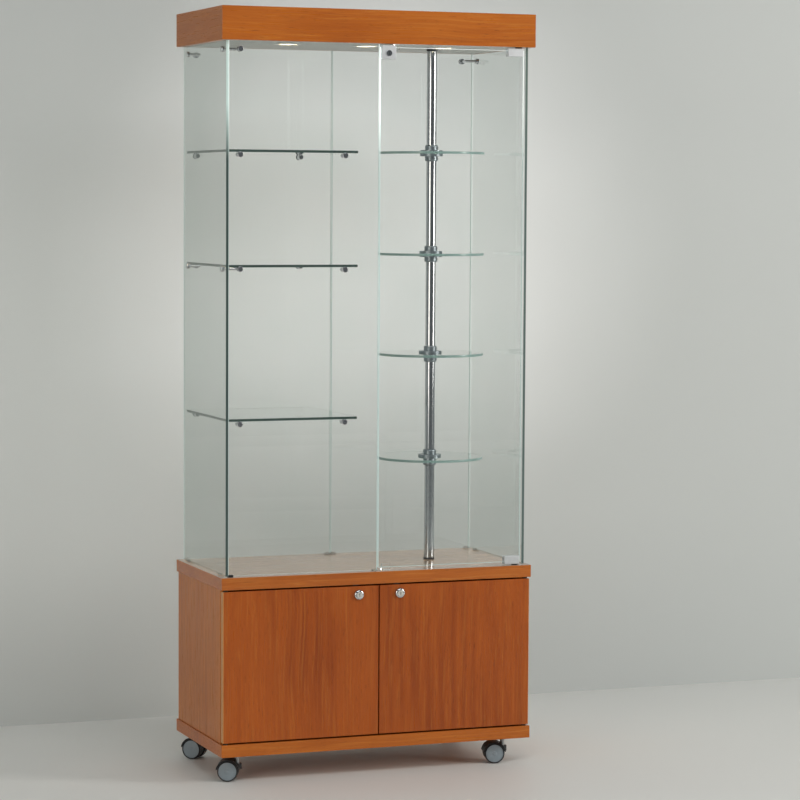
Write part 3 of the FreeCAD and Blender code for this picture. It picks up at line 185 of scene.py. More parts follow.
@dataclass(frozen=True)
class CherryLaminate(Finish):
    """Printed cherry laminate under a satin melamine skin, pressed on chipboard.

    The eye sees orange-brown wood with soft streaks along the grain, golden threads, arches of
    growth rings that come and go, small dark flecks, paler edging strips, and an even sheen that
    grows at a low angle.
    """

    run: GrainRun
    pale: str = "#BF6B23"
    ripe: str = "#9B4C15"
    gold: str = "#D69040"
    fleck: str = "#5E2A0E"
    heart_m: Place = (0.12, 0.31)
    ring_mm: float = 24.0
    gloss: float = 0.36
    smooth: float = 0.24
    rough: float = 0.36
    edging: Optional[str] = None
    edging_m: float = 0.0
    edging_fade: float = 0.3
    top: Optional[str] = None
    top_m: float = 0.0
    top_fade: Place = (0.6, 0.2)
    top_share: float = 0.86
    sway_m: float = 0.026
    sways_per_m: Spot = (5.0, 5.0, 3.2)
    log_tilt: Spot = (0.35, 0.21, 0.0)
    log_squeeze: float = 0.11
    ring_share: float = 0.16
    fibre_share: float = 0.46
    band_share: float = 0.24
    cloud_share: float = 0.52
    gold_share: float = 0.34
    fleck_share: float = 0.55

    def streaks(self, tree: Tree, along: Node, streak: Streak) -> Node:
        """Noise drawn out along the grain.

        Args:
            tree: Node tree that takes the noise.
            along: Coordinates whose Z runs along the grain.
            streak: Kind of streak.

        Returns:
            The noise, from zero to one.
        """
        across_mm, along_mm, detail = streak.value
        wide, long = 1.0 / (across_mm * MM), 1.0 / (along_mm * MM)
        drawn = add(tree, "ShaderNodeMapping", {
            "Vector": along, "Scale": Vector((wide, wide, long))})
        return add(tree, "ShaderNodeTexNoise", {
            "Vector": drawn, "Scale": 1.0, "Detail": detail, "Roughness": 0.6})

    def ripeness(self, tree: Tree, along: Node, fibres: Node) -> Node:
        """Patches of growth rings, summed with fibres, bands and clouds.

        The rings are those of a log cut at a slant: its axis is tilted in a frame that is squeezed
        along the grain.

        Args:
            tree: Node tree that takes the nodes.
            along: Coordinates whose Z runs along the grain.
            fibres: Noise of the fibres.

        Returns:
            Zero for pale wood, and one for ripe.
        """
        log = add(tree, "ShaderNodeMapping", {
            "Vector": along, "Location": Vector((*self.heart_m, 0.0)),
            "Rotation": Euler(self.log_tilt), "Scale": Vector((1.0, 1.0, self.log_squeeze))})
        rings = add(tree, "ShaderNodeTexWave", {
            "Vector": log, "Scale": WAVE_RING_M / (self.ring_mm * MM), "Distortion": 5.0,
            "Detail": 2.0, "Detail Scale": 0.9, "Detail Roughness": 0.55},
            wave_type="RINGS", rings_direction="Z")
        figure, bands, clouds = (self.streaks(tree, along, kind) for kind in (
            Streak.FIGURE, Streak.BAND, Streak.CLOUD))
        patch = add(tree, "ShaderNodeMapRange", {
            "Value": figure, "From Min": 0.50, "From Max": 0.66, "To Max": self.ring_share})
        summed = add(tree, "ShaderNodeMath", {0: rings.outputs["Fac"], 1: patch},
                     operation="MULTIPLY")
        for noise, share in ((fibres, self.fibre_share), (bands, self.band_share),
                             (clouds, self.cloud_share)):
            summed = add(tree, "ShaderNodeMath", {0: noise, 1: share, 2: summed},
                         operation="MULTIPLY_ADD")
        return add(tree, "ShaderNodeMapRange", {
            "Value": summed, "From Min": 0.40, "From Max": 0.94})

    def layers(self, tree: Tree, place: Socket, threads: Node, flecks: Node) -> list[Layer]:
        """Tones over the wood: threads, flecks, and what a board may have of strips and prints.

        Args:
            tree: Node tree that takes the nodes.
            place: Object coordinates.
            threads: Noise of the golden threads.
            flecks: Noise of the flecks.

        Returns:
            The layers, in the order in which they are laid.
        """
        found: list[Layer] = [(threads, 0.52, 0.74, self.gold_share, self.gold),
                              (flecks, 0.60, 0.80, self.fleck_share, self.fleck)]
        if self.edging:
            # The strip is an edge band on the outer upright edges; the edges in the gap between the
            # doors are left without it, so that they stay darker as painted shade.
            from_side = add(tree, "ShaderNodeSeparateXYZ", {0: place}).outputs["X"]
            aside = add(tree, "ShaderNodeMath", {0: from_side}, operation="ABSOLUTE")
            start = self.edging_m - self.edging_fade * MM
            found.append((aside, start, self.edging_m, 1.0, self.edging))
        if self.top:
            # The upper face has a paler print, down to its eased edge.
            height = add(tree, "ShaderNodeSeparateXYZ", {0: place}).outputs["Z"]
            start, stop = (self.top_m - below * MM for below in self.top_fade)
            found.append((height, start, stop, self.top_share, self.top))
        return found

    def paint(self, tree: Tree) -> dict[str, Node]:
        """Pale and ripe wood under its layers, with a sheen that follows the fibres."""
        place = add(tree, "ShaderNodeTexCoord").outputs["Object"]
        # The grain wanders over a hand's length.
        straight = add(tree, "ShaderNodeMapping", {
            "Vector": place, "Rotation": Euler(self.run.value)})
        sway = add(tree, "ShaderNodeMapping", {
            "Vector": straight, "Scale": Vector(self.sways_per_m)})
        bend = add(tree, "ShaderNodeTexNoise", {"Vector": sway, "Scale": 1.0, "Detail": 1.0})
        along = add(tree, "ShaderNodeVectorMath", {
            0: bend.outputs["Color"], 1: (self.sway_m, self.sway_m, 0.0), 2: straight},
            operation="MULTIPLY_ADD")
        fibres, threads, flecks = (self.streaks(tree, along, kind) for kind in (
            Streak.FIBRE, Streak.THREAD, Streak.FLECK))
        colour = add(tree, "ShaderNodeMix", {
            SHARE: self.ripeness(tree, along, fibres), FIRST: linear(self.pale),
            SECOND: linear(self.ripe)}, data_type="RGBA")
        for where, low, high, share, tone in self.layers(tree, place, threads, flecks):
            laid = add(tree, "ShaderNodeMapRange", {
                "Value": where, "From Min": low, "From Max": high, "To Max": share})
            colour = add(tree, "ShaderNodeMix", {
                SHARE: laid, FIRST: colour, SECOND: linear(tone)}, data_type="RGBA")
        sheen = add(tree, "ShaderNodeMapRange", {
            "Value": fibres, "From Min": 0.25, "From Max": 0.75, "To Min": self.smooth,
            "To Max": self.rough})
        relief = add(tree, "ShaderNodeBump", {
            "Height": flecks, "Strength": 0.06, "Distance": 0.04 * MM})
        return {"Surface": add(tree, "ShaderNodeBsdfPrincipled", {
            "Base Color": colour, "Roughness": sheen, "Normal": relief, "IOR": 1.5,
            "Specular IOR Level": self.gloss})}


@dataclass(frozen=True)
class FloatGlass(Finish):
    """Float glass with ground edges.

    The eye sees nearly clear faces with a mirror of the room in them, and green depth where a ray
    runs along the sheet and out at an edge.
    """

    clear: str = "#FFFFFF"
    greened: str = "#F9FCFB"
    haze_mm: float = 160.0
    depth_tint: str = "#63BFA6"
    depth_per_m: float = 2.4

    def paint(self, tree: Tree) -> dict[str, Node]:
        """Clear transmission with a faint uneven tint, and green absorption inside."""
        tint = add(tree, "ShaderNodeMix", {
            SHARE: self.speckle(tree, self.haze_mm, 1.0), FIRST: linear(self.clear),
            SECOND: linear(self.greened)}, data_type="RGBA")
        sheet = add(tree, "ShaderNodeBsdfPrincipled", {
            "Base Color": tint, "Roughness": 0.0, "IOR": 1.52, "Transmission Weight": 1.0})
        inside = add(tree, "ShaderNodeVolumeAbsorption", {
            "Color": linear(self.depth_tint), "Density": self.depth_per_m})
        return {"Surface": sheet, "Volume": inside}


@dataclass(frozen=True)
class GroundEdge(Finish):
    """Ground and polished edge of float glass.

    The eye sees the sheet's green depth as a dull line, partly the glass's own colour and partly
    painted shade, with painted light that pales it towards the lamps. An edge may also have a
    painted glow, an emission that stands in for the lamps' light leaving the sheet, though the edge
    is no lamp.
    """

    deep_and_shaded: str
    lit: str
    # Strength of the painted glow, an emission on an edge that is no lamp.
    glow: float = 0.0
    lit_from_m: float = 1.49
    lit_to_m: float = 1.62
    mark_mm: float = 2.0

    def paint(self, tree: Tree) -> dict[str, Node]:
        """Deep tone with painted shade below, painted lit tone above, a painted glow, and grinding
        marks in the shine.
        """
        place = add(tree, "ShaderNodeTexCoord").outputs["Object"]
        height = add(tree, "ShaderNodeSeparateXYZ", {0: place}).outputs["Z"]
        # Painted light: the edge's tone pales with height, towards the lamps.
        painted_lamp_paling = add(tree, "ShaderNodeMapRange", {
            "Value": height, "From Min": self.lit_from_m, "From Max": self.lit_to_m})
        tone = add(tree, "ShaderNodeMix", {
            SHARE: painted_lamp_paling, FIRST: linear(self.deep_and_shaded), SECOND: linear(self.lit)}, data_type="RGBA")
        shine = add(tree, "ShaderNodeMapRange", {
            "Value": self.speckle(tree, self.mark_mm), "From Min": NOISE_LOW,
            "From Max": NOISE_HIGH, "To Min": 0.16, "To Max": 0.34})
        # The emission is the painted glow.
        return {"Surface": add(tree, "ShaderNodeBsdfPrincipled", {
            "Base Color": tone, "Roughness": shine, "IOR": 1.5, "Emission Color": tone,
            "Emission Strength": self.glow})}


@dataclass(frozen=True)
class PlatedMetal(Finish):
    """Metal plate, from mirror chrome to dull zinc.

    The eye sees the room in it, a little dimmed, with faint rub marks and blotches where the shine
    changes.
    """

    bright: str
    dim: str
    smooth: float
    rough: float
    blot_mm: float = 14.0

    def paint(self, tree: Tree) -> dict[str, Node]:
        """Metal whose tone and shine drift with the blots."""
        blots = self.speckle(tree, self.blot_mm, 4.0)
        tone = add(tree, "ShaderNodeMix", {
            SHARE: blots, FIRST: linear(self.bright), SECOND: linear(self.dim)}, data_type="RGBA")
        shine = add(tree, "ShaderNodeMapRange", {
            "Value": blots, "From Min": NOISE_LOW, "From Max": NOISE_HIGH, "To Min": self.smooth,
            "To Max": self.rough})
        return {"Surface": add(tree, "ShaderNodeBsdfPrincipled", {
            "Base Color": tone, "Metallic": 1.0, "Roughness": shine})}


@dataclass(frozen=True)
class MouldedPlastic(Finish):
    """Injection-moulded nylon or ABS with a spark-eroded skin.

    The eye sees one even colour with a faint drift, broken by a fine grain that spreads the
    highlights. The grit is about 0.1 mm wide; it is drawn coarser so that it shows.
    """

    base: str
    worn: str
    smooth: float = 0.38
    rough: float = 0.52
    grit_mm: float = 1.2
    relief_mm: float = 0.04
    drift_mm: float = 22.0

    def paint(self, tree: Tree) -> dict[str, Node]:
        """Even colour with a drift of tone, and a fine grit in the surface."""
        grit = self.speckle(tree, self.grit_mm, 2.0)
        tone = add(tree, "ShaderNodeMix", {
            SHARE: self.speckle(tree, self.drift_mm), FIRST: linear(self.base),
            SECOND: linear(self.worn)}, data_type="RGBA")
        shine = add(tree, "ShaderNodeMapRange", {
            "Value": grit, "From Min": NOISE_LOW, "From Max": NOISE_HIGH, "To Min": self.smooth,
            "To Max": self.rough})
        relief = add(tree, "ShaderNodeBump", {
            "Height": grit, "Strength": 0.25, "Distance": self.relief_mm * MM})
        return {"Surface": add(tree, "ShaderNodeBsdfPrincipled", {
            "Base Color": tone, "Roughness": shine, "Normal": relief, "IOR": 1.5})}


@dataclass(frozen=True)
class ClearAcrylic(Finish):
    """Cut and polished acrylic.

    The eye sees a clear block with bright edges and no green in its depth.
    """

    clear: str = "#FFFFFF"
    cloudy: str = "#F2F6F7"
    haze_mm: float = 6.0

    def paint(self, tree: Tree) -> dict[str, Node]:
        """Clear transmission with a faint haze."""
        tint = add(tree, "ShaderNodeMix", {
            SHARE: self.speckle(tree, self.haze_mm), FIRST: linear(self.clear),
            SECOND: linear(self.cloudy)}, data_type="RGBA")
        return {"Surface": add(tree, "ShaderNodeBsdfPrincipled", {
            "Base Color": tint, "Roughness": 0.05, "IOR": 1.49, "Transmission Weight": 1.0})}


@dataclass(frozen=True)
class LitReflector(Finish):
    """Aluminised glass reflector of a burning halogen lamp.

    The eye sees a warm white glow, a little uneven from facet to facet.
    """

    glow: str = "#FFF6E4"
    soft: str = "#FFE9C4"
    strength: float = 9.0
    patch_mm: float = 5.0

    def paint(self, tree: Tree) -> dict[str, Node]:
        """Bright metal that gives off warm light in patches."""
        tone = add(tree, "ShaderNodeMix", {
            SHARE: self.speckle(tree, self.patch_mm, 1.0), FIRST: linear(self.glow),
            SECOND: linear(self.soft)}, data_type="RGBA")
        return {"Surface": add(tree, "ShaderNodeBsdfPrincipled", {
            "Base Color": tone, "Metallic": 1.0, "Roughness": 0.2, "Emission Color": tone,
            "Emission Strength": self.strength})}


@dataclass(frozen=True)
class FloorCoat(Finish):
    """Poured floor of the studio.

    The eye sees a pale even field with slow drifts of tone.
    """

    base: str
    drifted: str
    cloud_mm: float = 900.0

    def paint(self, tree: Tree) -> dict[str, Node]:
        """Two near tones in slow clouds."""
        tone = add(tree, "ShaderNodeMix", {
            SHARE: self.speckle(tree, self.cloud_mm, 2.0), FIRST: linear(self.base),
            SECOND: linear(self.drifted)}, data_type="RGBA")
        return {"Surface": add(tree, "ShaderNodeBsdfPrincipled", {
            "Base Color": tone, "Roughness": 0.5})}


@dataclass(frozen=True)
class BackdropWithPaintedLightPool(Finish):
    """Backdrop board with a painted pool of light, paler in the middle, and a bare side that is
    left open.

    The eye sees a grey field that brightens behind the object, where the pool of light is painted
    into its colour, and nothing at all from the bare side.
    """

    field: str
    # The pool of light painted in the middle: its tone, and where its heart is.
    middle: str
    light_pool_m: Spot
    pale_m: float = 0.2
    fade_m: float = 0.9
    stir_m: float = 0.3
    cloud_mm: float = 900.0

    def paint(self, tree: Tree) -> dict[str, Node]:
        """Fade from the painted pool of light in the middle to the field's tone, stirred by slow
        clouds.
        """
        place = add(tree, "ShaderNodeTexCoord").outputs["Object"]
        away = add(tree, "ShaderNodeVectorMath", {0: place, 1: self.light_pool_m}, operation="DISTANCE")
        clouds = self.speckle(tree, self.cloud_mm, 2.0)
        stirred = add(tree, "ShaderNodeMath", {0: clouds, 1: self.stir_m, 2: away},
                      operation="MULTIPLY_ADD")
        fade = add(tree, "ShaderNodeMapRange", {
            "Value": stirred, "From Min": self.pale_m, "From Max": self.pale_m + self.fade_m},
            interpolation_type="SMOOTHSTEP")
        tone = add(tree, "ShaderNodeMix", {
            SHARE: fade, FIRST: linear(self.middle), SECOND: linear(self.field)}, data_type="RGBA")
        coat = add(tree, "ShaderNodeBsdfPrincipled", {"Base Color": tone, "Roughness": 0.7})
        bare = add(tree, "ShaderNodeNewGeometry").outputs["Backfacing"]
        gone = add(tree, "ShaderNodeBsdfTransparent")
        return {"Surface": add(tree, "ShaderNodeMixShader", {0: bare, 1: coat, 2: gone})}


BOARD_ACROSS = CherryLaminate("cherry_laminate_across", GrainRun.ACROSS)
DISPLAY_FLOOR = CherryLaminate(
    "cherry_laminate_display_floor", GrainRun.ACROSS, gloss=0.5, smooth=0.13, rough=0.2,
    top="#A5937E", top_m=0.498)
BOARD_DEEP = CherryLaminate(
    "cherry_laminate_deep", GrainRun.DEEP, pale="#BE6E18", ripe="#9C5012", gloss=0.2)
BOARD_UPRIGHT = CherryLaminate(
    "cherry_laminate_upright", GrainRun.UPRIGHT, pale="#C87523", ripe="#A6581A",
    heart_m=(0.39, 0.2))
DOOR_UPRIGHT = CherryLaminate(
    "cherry_door_laminate", GrainRun.UPRIGHT, pale="#B35A1A", ripe="#8A3C0E", gold="#C47A34",
    fleck="#4E200B", heart_m=(0.3, 0.24), ring_mm=30.0, edging="#CB8F50", edging_m=0.395)
BACK_UPRIGHT = CherryLaminate(
    "cherry_printed_hardboard", GrainRun.UPRIGHT, pale="#B06A34", ripe="#925324",
    heart_m=(0.05, 0.3), ring_mm=34.0)
GLASS = FloatGlass("float_glass")
# Copies of one ground edge: the glass's green depth, drawn darker as painted shade or paler as
# painted light for how light falls on each edge; the split and rear edges also have a painted glow.
CORNER_EDGE = GroundEdge("ground_glass_corner_edge", "#3F504E", "#CFE6E2")
SHADED_EDGE = GroundEdge("ground_glass_shaded_edge", "#5A6B69", "#64756F")
SPLIT_EDGE = GroundEdge("ground_glass_split_edge", "#A2B2B0", "#F2FAF8", glow=0.7)
REAR_EDGE = GroundEdge("ground_glass_rear_edge", "#C2D0CE", "#D8E4E2", glow=0.1)
SHELF_EDGE = GroundEdge("ground_glass_shelf_edge", "#354844", "#3A4E49")
ROUND_EDGE = GroundEdge("ground_glass_round_edge", "#7D9894", "#86A19D")
CHROME = PlatedMetal("polished_chrome", "#DADCDE", "#C3C6C9", 0.05, 0.12)
COLUMN_CHROME = PlatedMetal("chromed_steel_tube", "#CDD1D4", "#B6BABD", 0.1, 0.17)
CAST_ZINC = PlatedMetal("satin_cast_zinc", "#9AA4A9", "#858F94", 0.32, 0.46, 8.0)
SATIN_CHROME = PlatedMetal("satin_chrome", "#E4E7E9", "#CDD1D4", 0.42, 0.52)
BRIGHT_NICKEL = PlatedMetal("bright_nickel", "#EFEDE6", "#DDDBD4", 0.46, 0.52)
ZINC = PlatedMetal("zinc_plated_steel", "#B4B6B6", "#8E9192", 0.3, 0.45, 5.0)
BURNISHED = PlatedMetal("burnished_steel", "#4A4744", "#35322F", 0.35, 0.5, 5.0)
# Painted shade: near-black stands for the shade inside the key slots, not for the brass's own
# colour.
SLOT_SHADE_BRASS = PlatedMetal("brass_dark_with_painted_slot_shade", "#1C1813", "#120F0C", 0.5, 0.65, 2.0)
BLACK_NYLON = MouldedPlastic("black_nylon", "#17181A", "#222427")
GREY_NYLON = MouldedPlastic("grey_nylon", "#7C8890", "#93A0A8", 0.3, 0.42)
WHITE_ABS = MouldedPlastic("white_abs", "#E6E6E2", "#DADAD5", 0.25, 0.36)
CEILING_BOARD = MouldedPlastic("pale_melamine", "#CBCBC5", "#C1C1BA", 0.4, 0.5, 2.0, 0.02)
ACRYLIC = ClearAcrylic("clear_acrylic")
LAMP_BOWL = LitReflector("lit_aluminised_glass")
LAMP_FRONT = FloatGlass(
    "lamp_front_glass", greened="#FFFDF8", depth_tint="#F2F2EC", depth_per_m=0.5)
# The backdrop's paler middle is painted light, a pool of light painted on the wall.
BACKDROP = BackdropWithPaintedLightPool("backdrop_with_painted_light_pool", "#C2C7C6", "#FBFEFF", (0.32, 0.73, 1.3))
FLOOR_COAT = FloorCoat("pale_floor_coating", "#E6E8E6", "#DEE0DD")


def dress(finish: Finish, *names: str) -> list[str]:
    """Give CAD nodes a finish through their material slots.

    Args:
        finish: Finish that the nodes take.
        names: Names of the nodes.

    Returns:
        The names, for the log.
    """
    for name in names:
        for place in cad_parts[name].material_slots:
            place.material = finish.material()
    return list(names)


def see_through(*names: str) -> None:
    """Let light through glass nodes, and keep them out of mirrors in what stands behind them."""
    for name in names:
        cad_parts[name].visible_shadow = False
        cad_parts[name].visible_glossy = False


def box_of(name: str) -> tuple[np.ndarray, np.ndarray]:
    """Return a node's lowest and highest corners in millimetres."""
    low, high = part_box(name)
    return np.array(low) / MM, np.array(high) / MM


def grid_faces(rows: int, columns: int, round_rows: bool) -> np.ndarray:
    """Corner numbers of the quads of a grid that is closed along its columns.

    Args:
        rows: Number of rows of points.
        columns: Number of points in a row.
        round_rows: Whether the last row joins the first.

    Returns:
        One row of four corner numbers per quad.
    """
    row = np.arange(rows if round_rows else rows - 1)[:, None]
    column = np.arange(columns)[None, :]
    below, beside = (row + 1) % rows, (column + 1) % columns
    corners = (row * columns + column, row * columns + beside, below * columns + beside,
               below * columns + column)
    spread = [np.broadcast_to(corner, (row.size, columns)) for corner in corners]
    return np.stack(spread, axis=-1).reshape(-1, 4)


def rounded(corners: Iterable[Spot], steps: int = 6) -> np.ndarray:
    """Ease the corners of a profile with curves.

    A corner C with radius k, between neighbours A and B, becomes the quadratic curve
    (1-t)^2 P + 2 t (1-t) C + t^2 Q, where P and Q lie k from C towards A and B.

    Args:
        corners: Radius, height and easing of each corner.
        steps: Points on each eased corner.

    Returns:
        Radius and height of each profile point.
    """
    table = np.array(list(corners), dtype=float)
    points, ease = table[:, :2], table[:, 2]
    ways = [np.roll(points, shift, axis=0) - points for shift in (1, -1)]
    lengths = [np.maximum(np.linalg.norm(way, axis=1, keepdims=True), 1e-9) for way in ways]
    start, end = (points + way / length * ease[:, None] for way, length in zip(ways, lengths))
    t = np.linspace(0.0, 1.0, steps)[None, :, None]
    curve = ((1 - t) ** 2 * start[:, None] + 2 * t * (1 - t) * points[:, None]
             + t ** 2 * end[:, None])
    return np.concatenate([curve[k] if ease[k] > 0 else points[k:k + 1]
                           for k in range(len(points))])


def turned(profile: np.ndarray, steps: int, ring: bool = False,
           swell: Optional[np.ndarray] = None) -> Grid:
    """Carry a profile round the Z axis.

    A point is (r s cos a, r s sin a, h) for a profile point of radius r and height h, an angle a,
    and a swell s.

    Args:
        profile: Radius and height of each profile point.
        steps: Points round the axis.
        ring: Whether the profile is a closed loop; otherwise it starts and ends on the axis.
        swell: Factor on the radius for each profile point and angle.

    Returns:
        Points and quads.
    """
    angle = np.linspace(0.0, 2 * math.pi, steps, endpoint=False)[None, :]
    radius = profile[:, :1] * (np.ones((len(profile), steps)) if swell is None else swell)
    height = np.broadcast_to(profile[:, 1:], radius.shape)
    points = np.stack((radius * np.cos(angle), radius * np.sin(angle), height), axis=-1)
    return points.reshape(-1, 3), grid_faces(len(profile), steps, ring)


def moved(grid: Grid, spot: Spot, along: Spot = UP) -> Grid:
    """Lay a surface's Z axis along a direction, and carry its origin to a spot.

    Args:
        grid: Points and quads.
        spot: Place of the origin.
        along: Direction that Z is laid along.

    Returns:
        Points and quads.
    """
    turn = Vector(UP).rotation_difference(Vector(along))
    return grid[0] @ np.array(turn.to_matrix()).T + np.array(spot), grid[1]


def bar(low: Spot, high: Spot, axis: int, ease: float) -> Grid:
    """Bar between two corners, with its long edges eased and its ends flat.

    A point is (u, v) of an eased rectangle, set at the start or the end of the axis; each end
    closes on the rectangle's middle.

    Args:
        low: Lowest corner.
        high: Highest corner.
        axis: Number of the axis that the bar runs along.
        ease: Easing of the long edges.

    Returns:
        Points and quads.
    """
    wide, tall = (number for number in range(3) if number != axis)
    loop = rounded([(low[wide], low[tall], ease), (high[wide], low[tall], ease),
                    (high[wide], high[tall], ease), (low[wide], high[tall], ease)], steps=4)
    middle = np.broadcast_to(loop.mean(axis=0), loop.shape)
    points = np.empty((4, len(loop), 3))
    points[:, :, [wide, tall]] = np.stack((middle, loop, loop, middle))
    points[:, :, axis] = np.array([low[axis], low[axis], high[axis], high[axis]])[:, None]
    return points.reshape(-1, 3), grid_faces(4, len(loop), False)


def edge_bars(name: str, sides: Iterable[Side], top: float = math.inf) -> list[Grid]:
    """Bars over the ground edges of a flat sheet of glass, a little proud of it, that carry the
    edges' painted light and shade.

    Args:
        name: Node of the sheet, whose least extent is its thickness.
        sides: Sides whose edges get a bar.
        top: Height at which upright edges stop.

    Returns:
        One bar per edge.
    """
    low, high = box_of(name)
    through = int(np.argmin(high - low))
    made = []
    for facing, end in sides:
        run = 3 - through - facing
        start, stop = low.copy(), high.copy()
        start[through], stop[through] = low[through] - EDGE_PROUD, high[through] + EDGE_PROUD
        edge = (low if end < 0 else high)[facing]
        start[facing], stop[facing] = sorted((edge + end * EDGE_PROUD, edge - end * EDGE_DEPTH))
        start[run], stop[run] = low[run] + EDGE_END, high[run] - EDGE_END
        stop[2] = min(stop[2], top)
        made.append(bar(tuple(start), tuple(stop), run, EDGE_EASE))
    return made


def piece(name: str, grids: Iterable[Grid], finish: Finish, body: str,
          crease_deg: float = 38.0) -> bpy.types.Object:
    """Put surfaces into one mesh that rides on a body.

    Args:
        name: Name of the piece.
        grids: Points in millimetres and quads of each surface.
        finish: Finish of the piece.
        body: Body that it moves with.
        crease_deg: Edges over this angle stay sharp.

    Returns:
        The finished object.
    """
    shapes = list(grids)
    starts = np.cumsum([0] + [len(points) for points, _ in shapes[:-1]])
    points = np.concatenate([points for points, _ in shapes]) * MM
    quads = np.concatenate([faces + start for (_, faces), start in zip(shapes, starts)])
    mesh = bpy.data.meshes.new(name)
    mesh.from_pydata(points, [], quads)
    build = bmesh.new()
    build.from_mesh(mesh)
    bmesh.ops.remove_doubles(build, verts=build.verts, dist=MERGE_M)
    bmesh.ops.recalc_face_normals(build, faces=build.faces)
    build.to_mesh(mesh)
    build.free()
    mesh.polygons.foreach_set("use_smooth", np.ones(len(mesh.polygons), dtype=bool))
    mesh.set_sharp_from_angle(angle=math.radians(crease_deg))
    mesh.materials.append(finish.material())
    made = bpy.data.objects.new(name, mesh)
    bpy.context.scene.collection.objects.link(made)
    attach(made, body)
    return made


@dataclass
class BaseCupboard:
    """Cherry boards, doors and locks below the glass."""

    lock_z: float = 443.5
    slot_width: float = 2.4
    slot_height: float = 9.0
    slot_depth: float = 5.0
    slack: float = 0.05
    end_gap: float = 0.1
    end_wall: float = 0.9
    ward_setback: float = 0.5
    keyway: float = 0.5
    ward_step: float = 1.2
    ward_ease: float = 0.2

    def wards(self, plug: str) -> list[Grid]:
        """Inside of a key slot: an end wall, and two wards with a crooked keyway between them,
        drawn near-black as painted shade.

        Args:
            plug: Node of the lock plug, whose face is its lowest Y.

        Returns:
            End wall and wards.
        """
        low, high = box_of(plug)
        x, z = (low[0] + high[0]) / 2, self.lock_z
        front, end = low[1] + self.ward_setback, low[1] + self.slot_depth
        wall, back = end - self.end_gap - self.end_wall, end - self.end_wall
        half_w, half_h = self.slot_width / 2 - self.slack, self.slot_height / 2 - self.slack
        half_key, half_step = self.keyway / 2, self.ward_step / 2
        return [bar((x - half_w, wall, z - half_h),
                    (x + half_w, end - self.end_gap, z + half_h), 2, self.ward_ease),
                bar((x - half_w, front, z - half_h), (x - half_key, back, z - half_step), 1,
                    self.ward_ease),
                bar((x + half_key, front, z + half_step), (x + half_w, back, z + half_h), 1,
                    self.ward_ease)]

    def build(self) -> list[str]:
        """Put wards, near-black with painted shade, in the key slots, and dress the boards, doors,
        locks and pivots.
        """
        slots = [piece(f"{side}_key_wards", self.wards(f"{side}_lock_plug"), SLOT_SHADE_BRASS,
                       f"{side}_lock").name for side in ("left", "right")]
        return (slots + dress(BOARD_ACROSS, "bottom_board") + dress(DISPLAY_FLOOR, "top_board")
                + dress(BOARD_UPRIGHT, "left_side", "right_side")
                + dress(DOOR_UPRIGHT, "left_base_door", "right_base_door")
                + dress(BACK_UPRIGHT, "base_back")
                + dress(CHROME, "left_lock_body", "right_lock_body")
                + dress(BRIGHT_NICKEL, "left_lock_plug", "right_lock_plug")
                + dress(ZINC, "lock_strikes") + dress(BURNISHED, "base_pivots"))


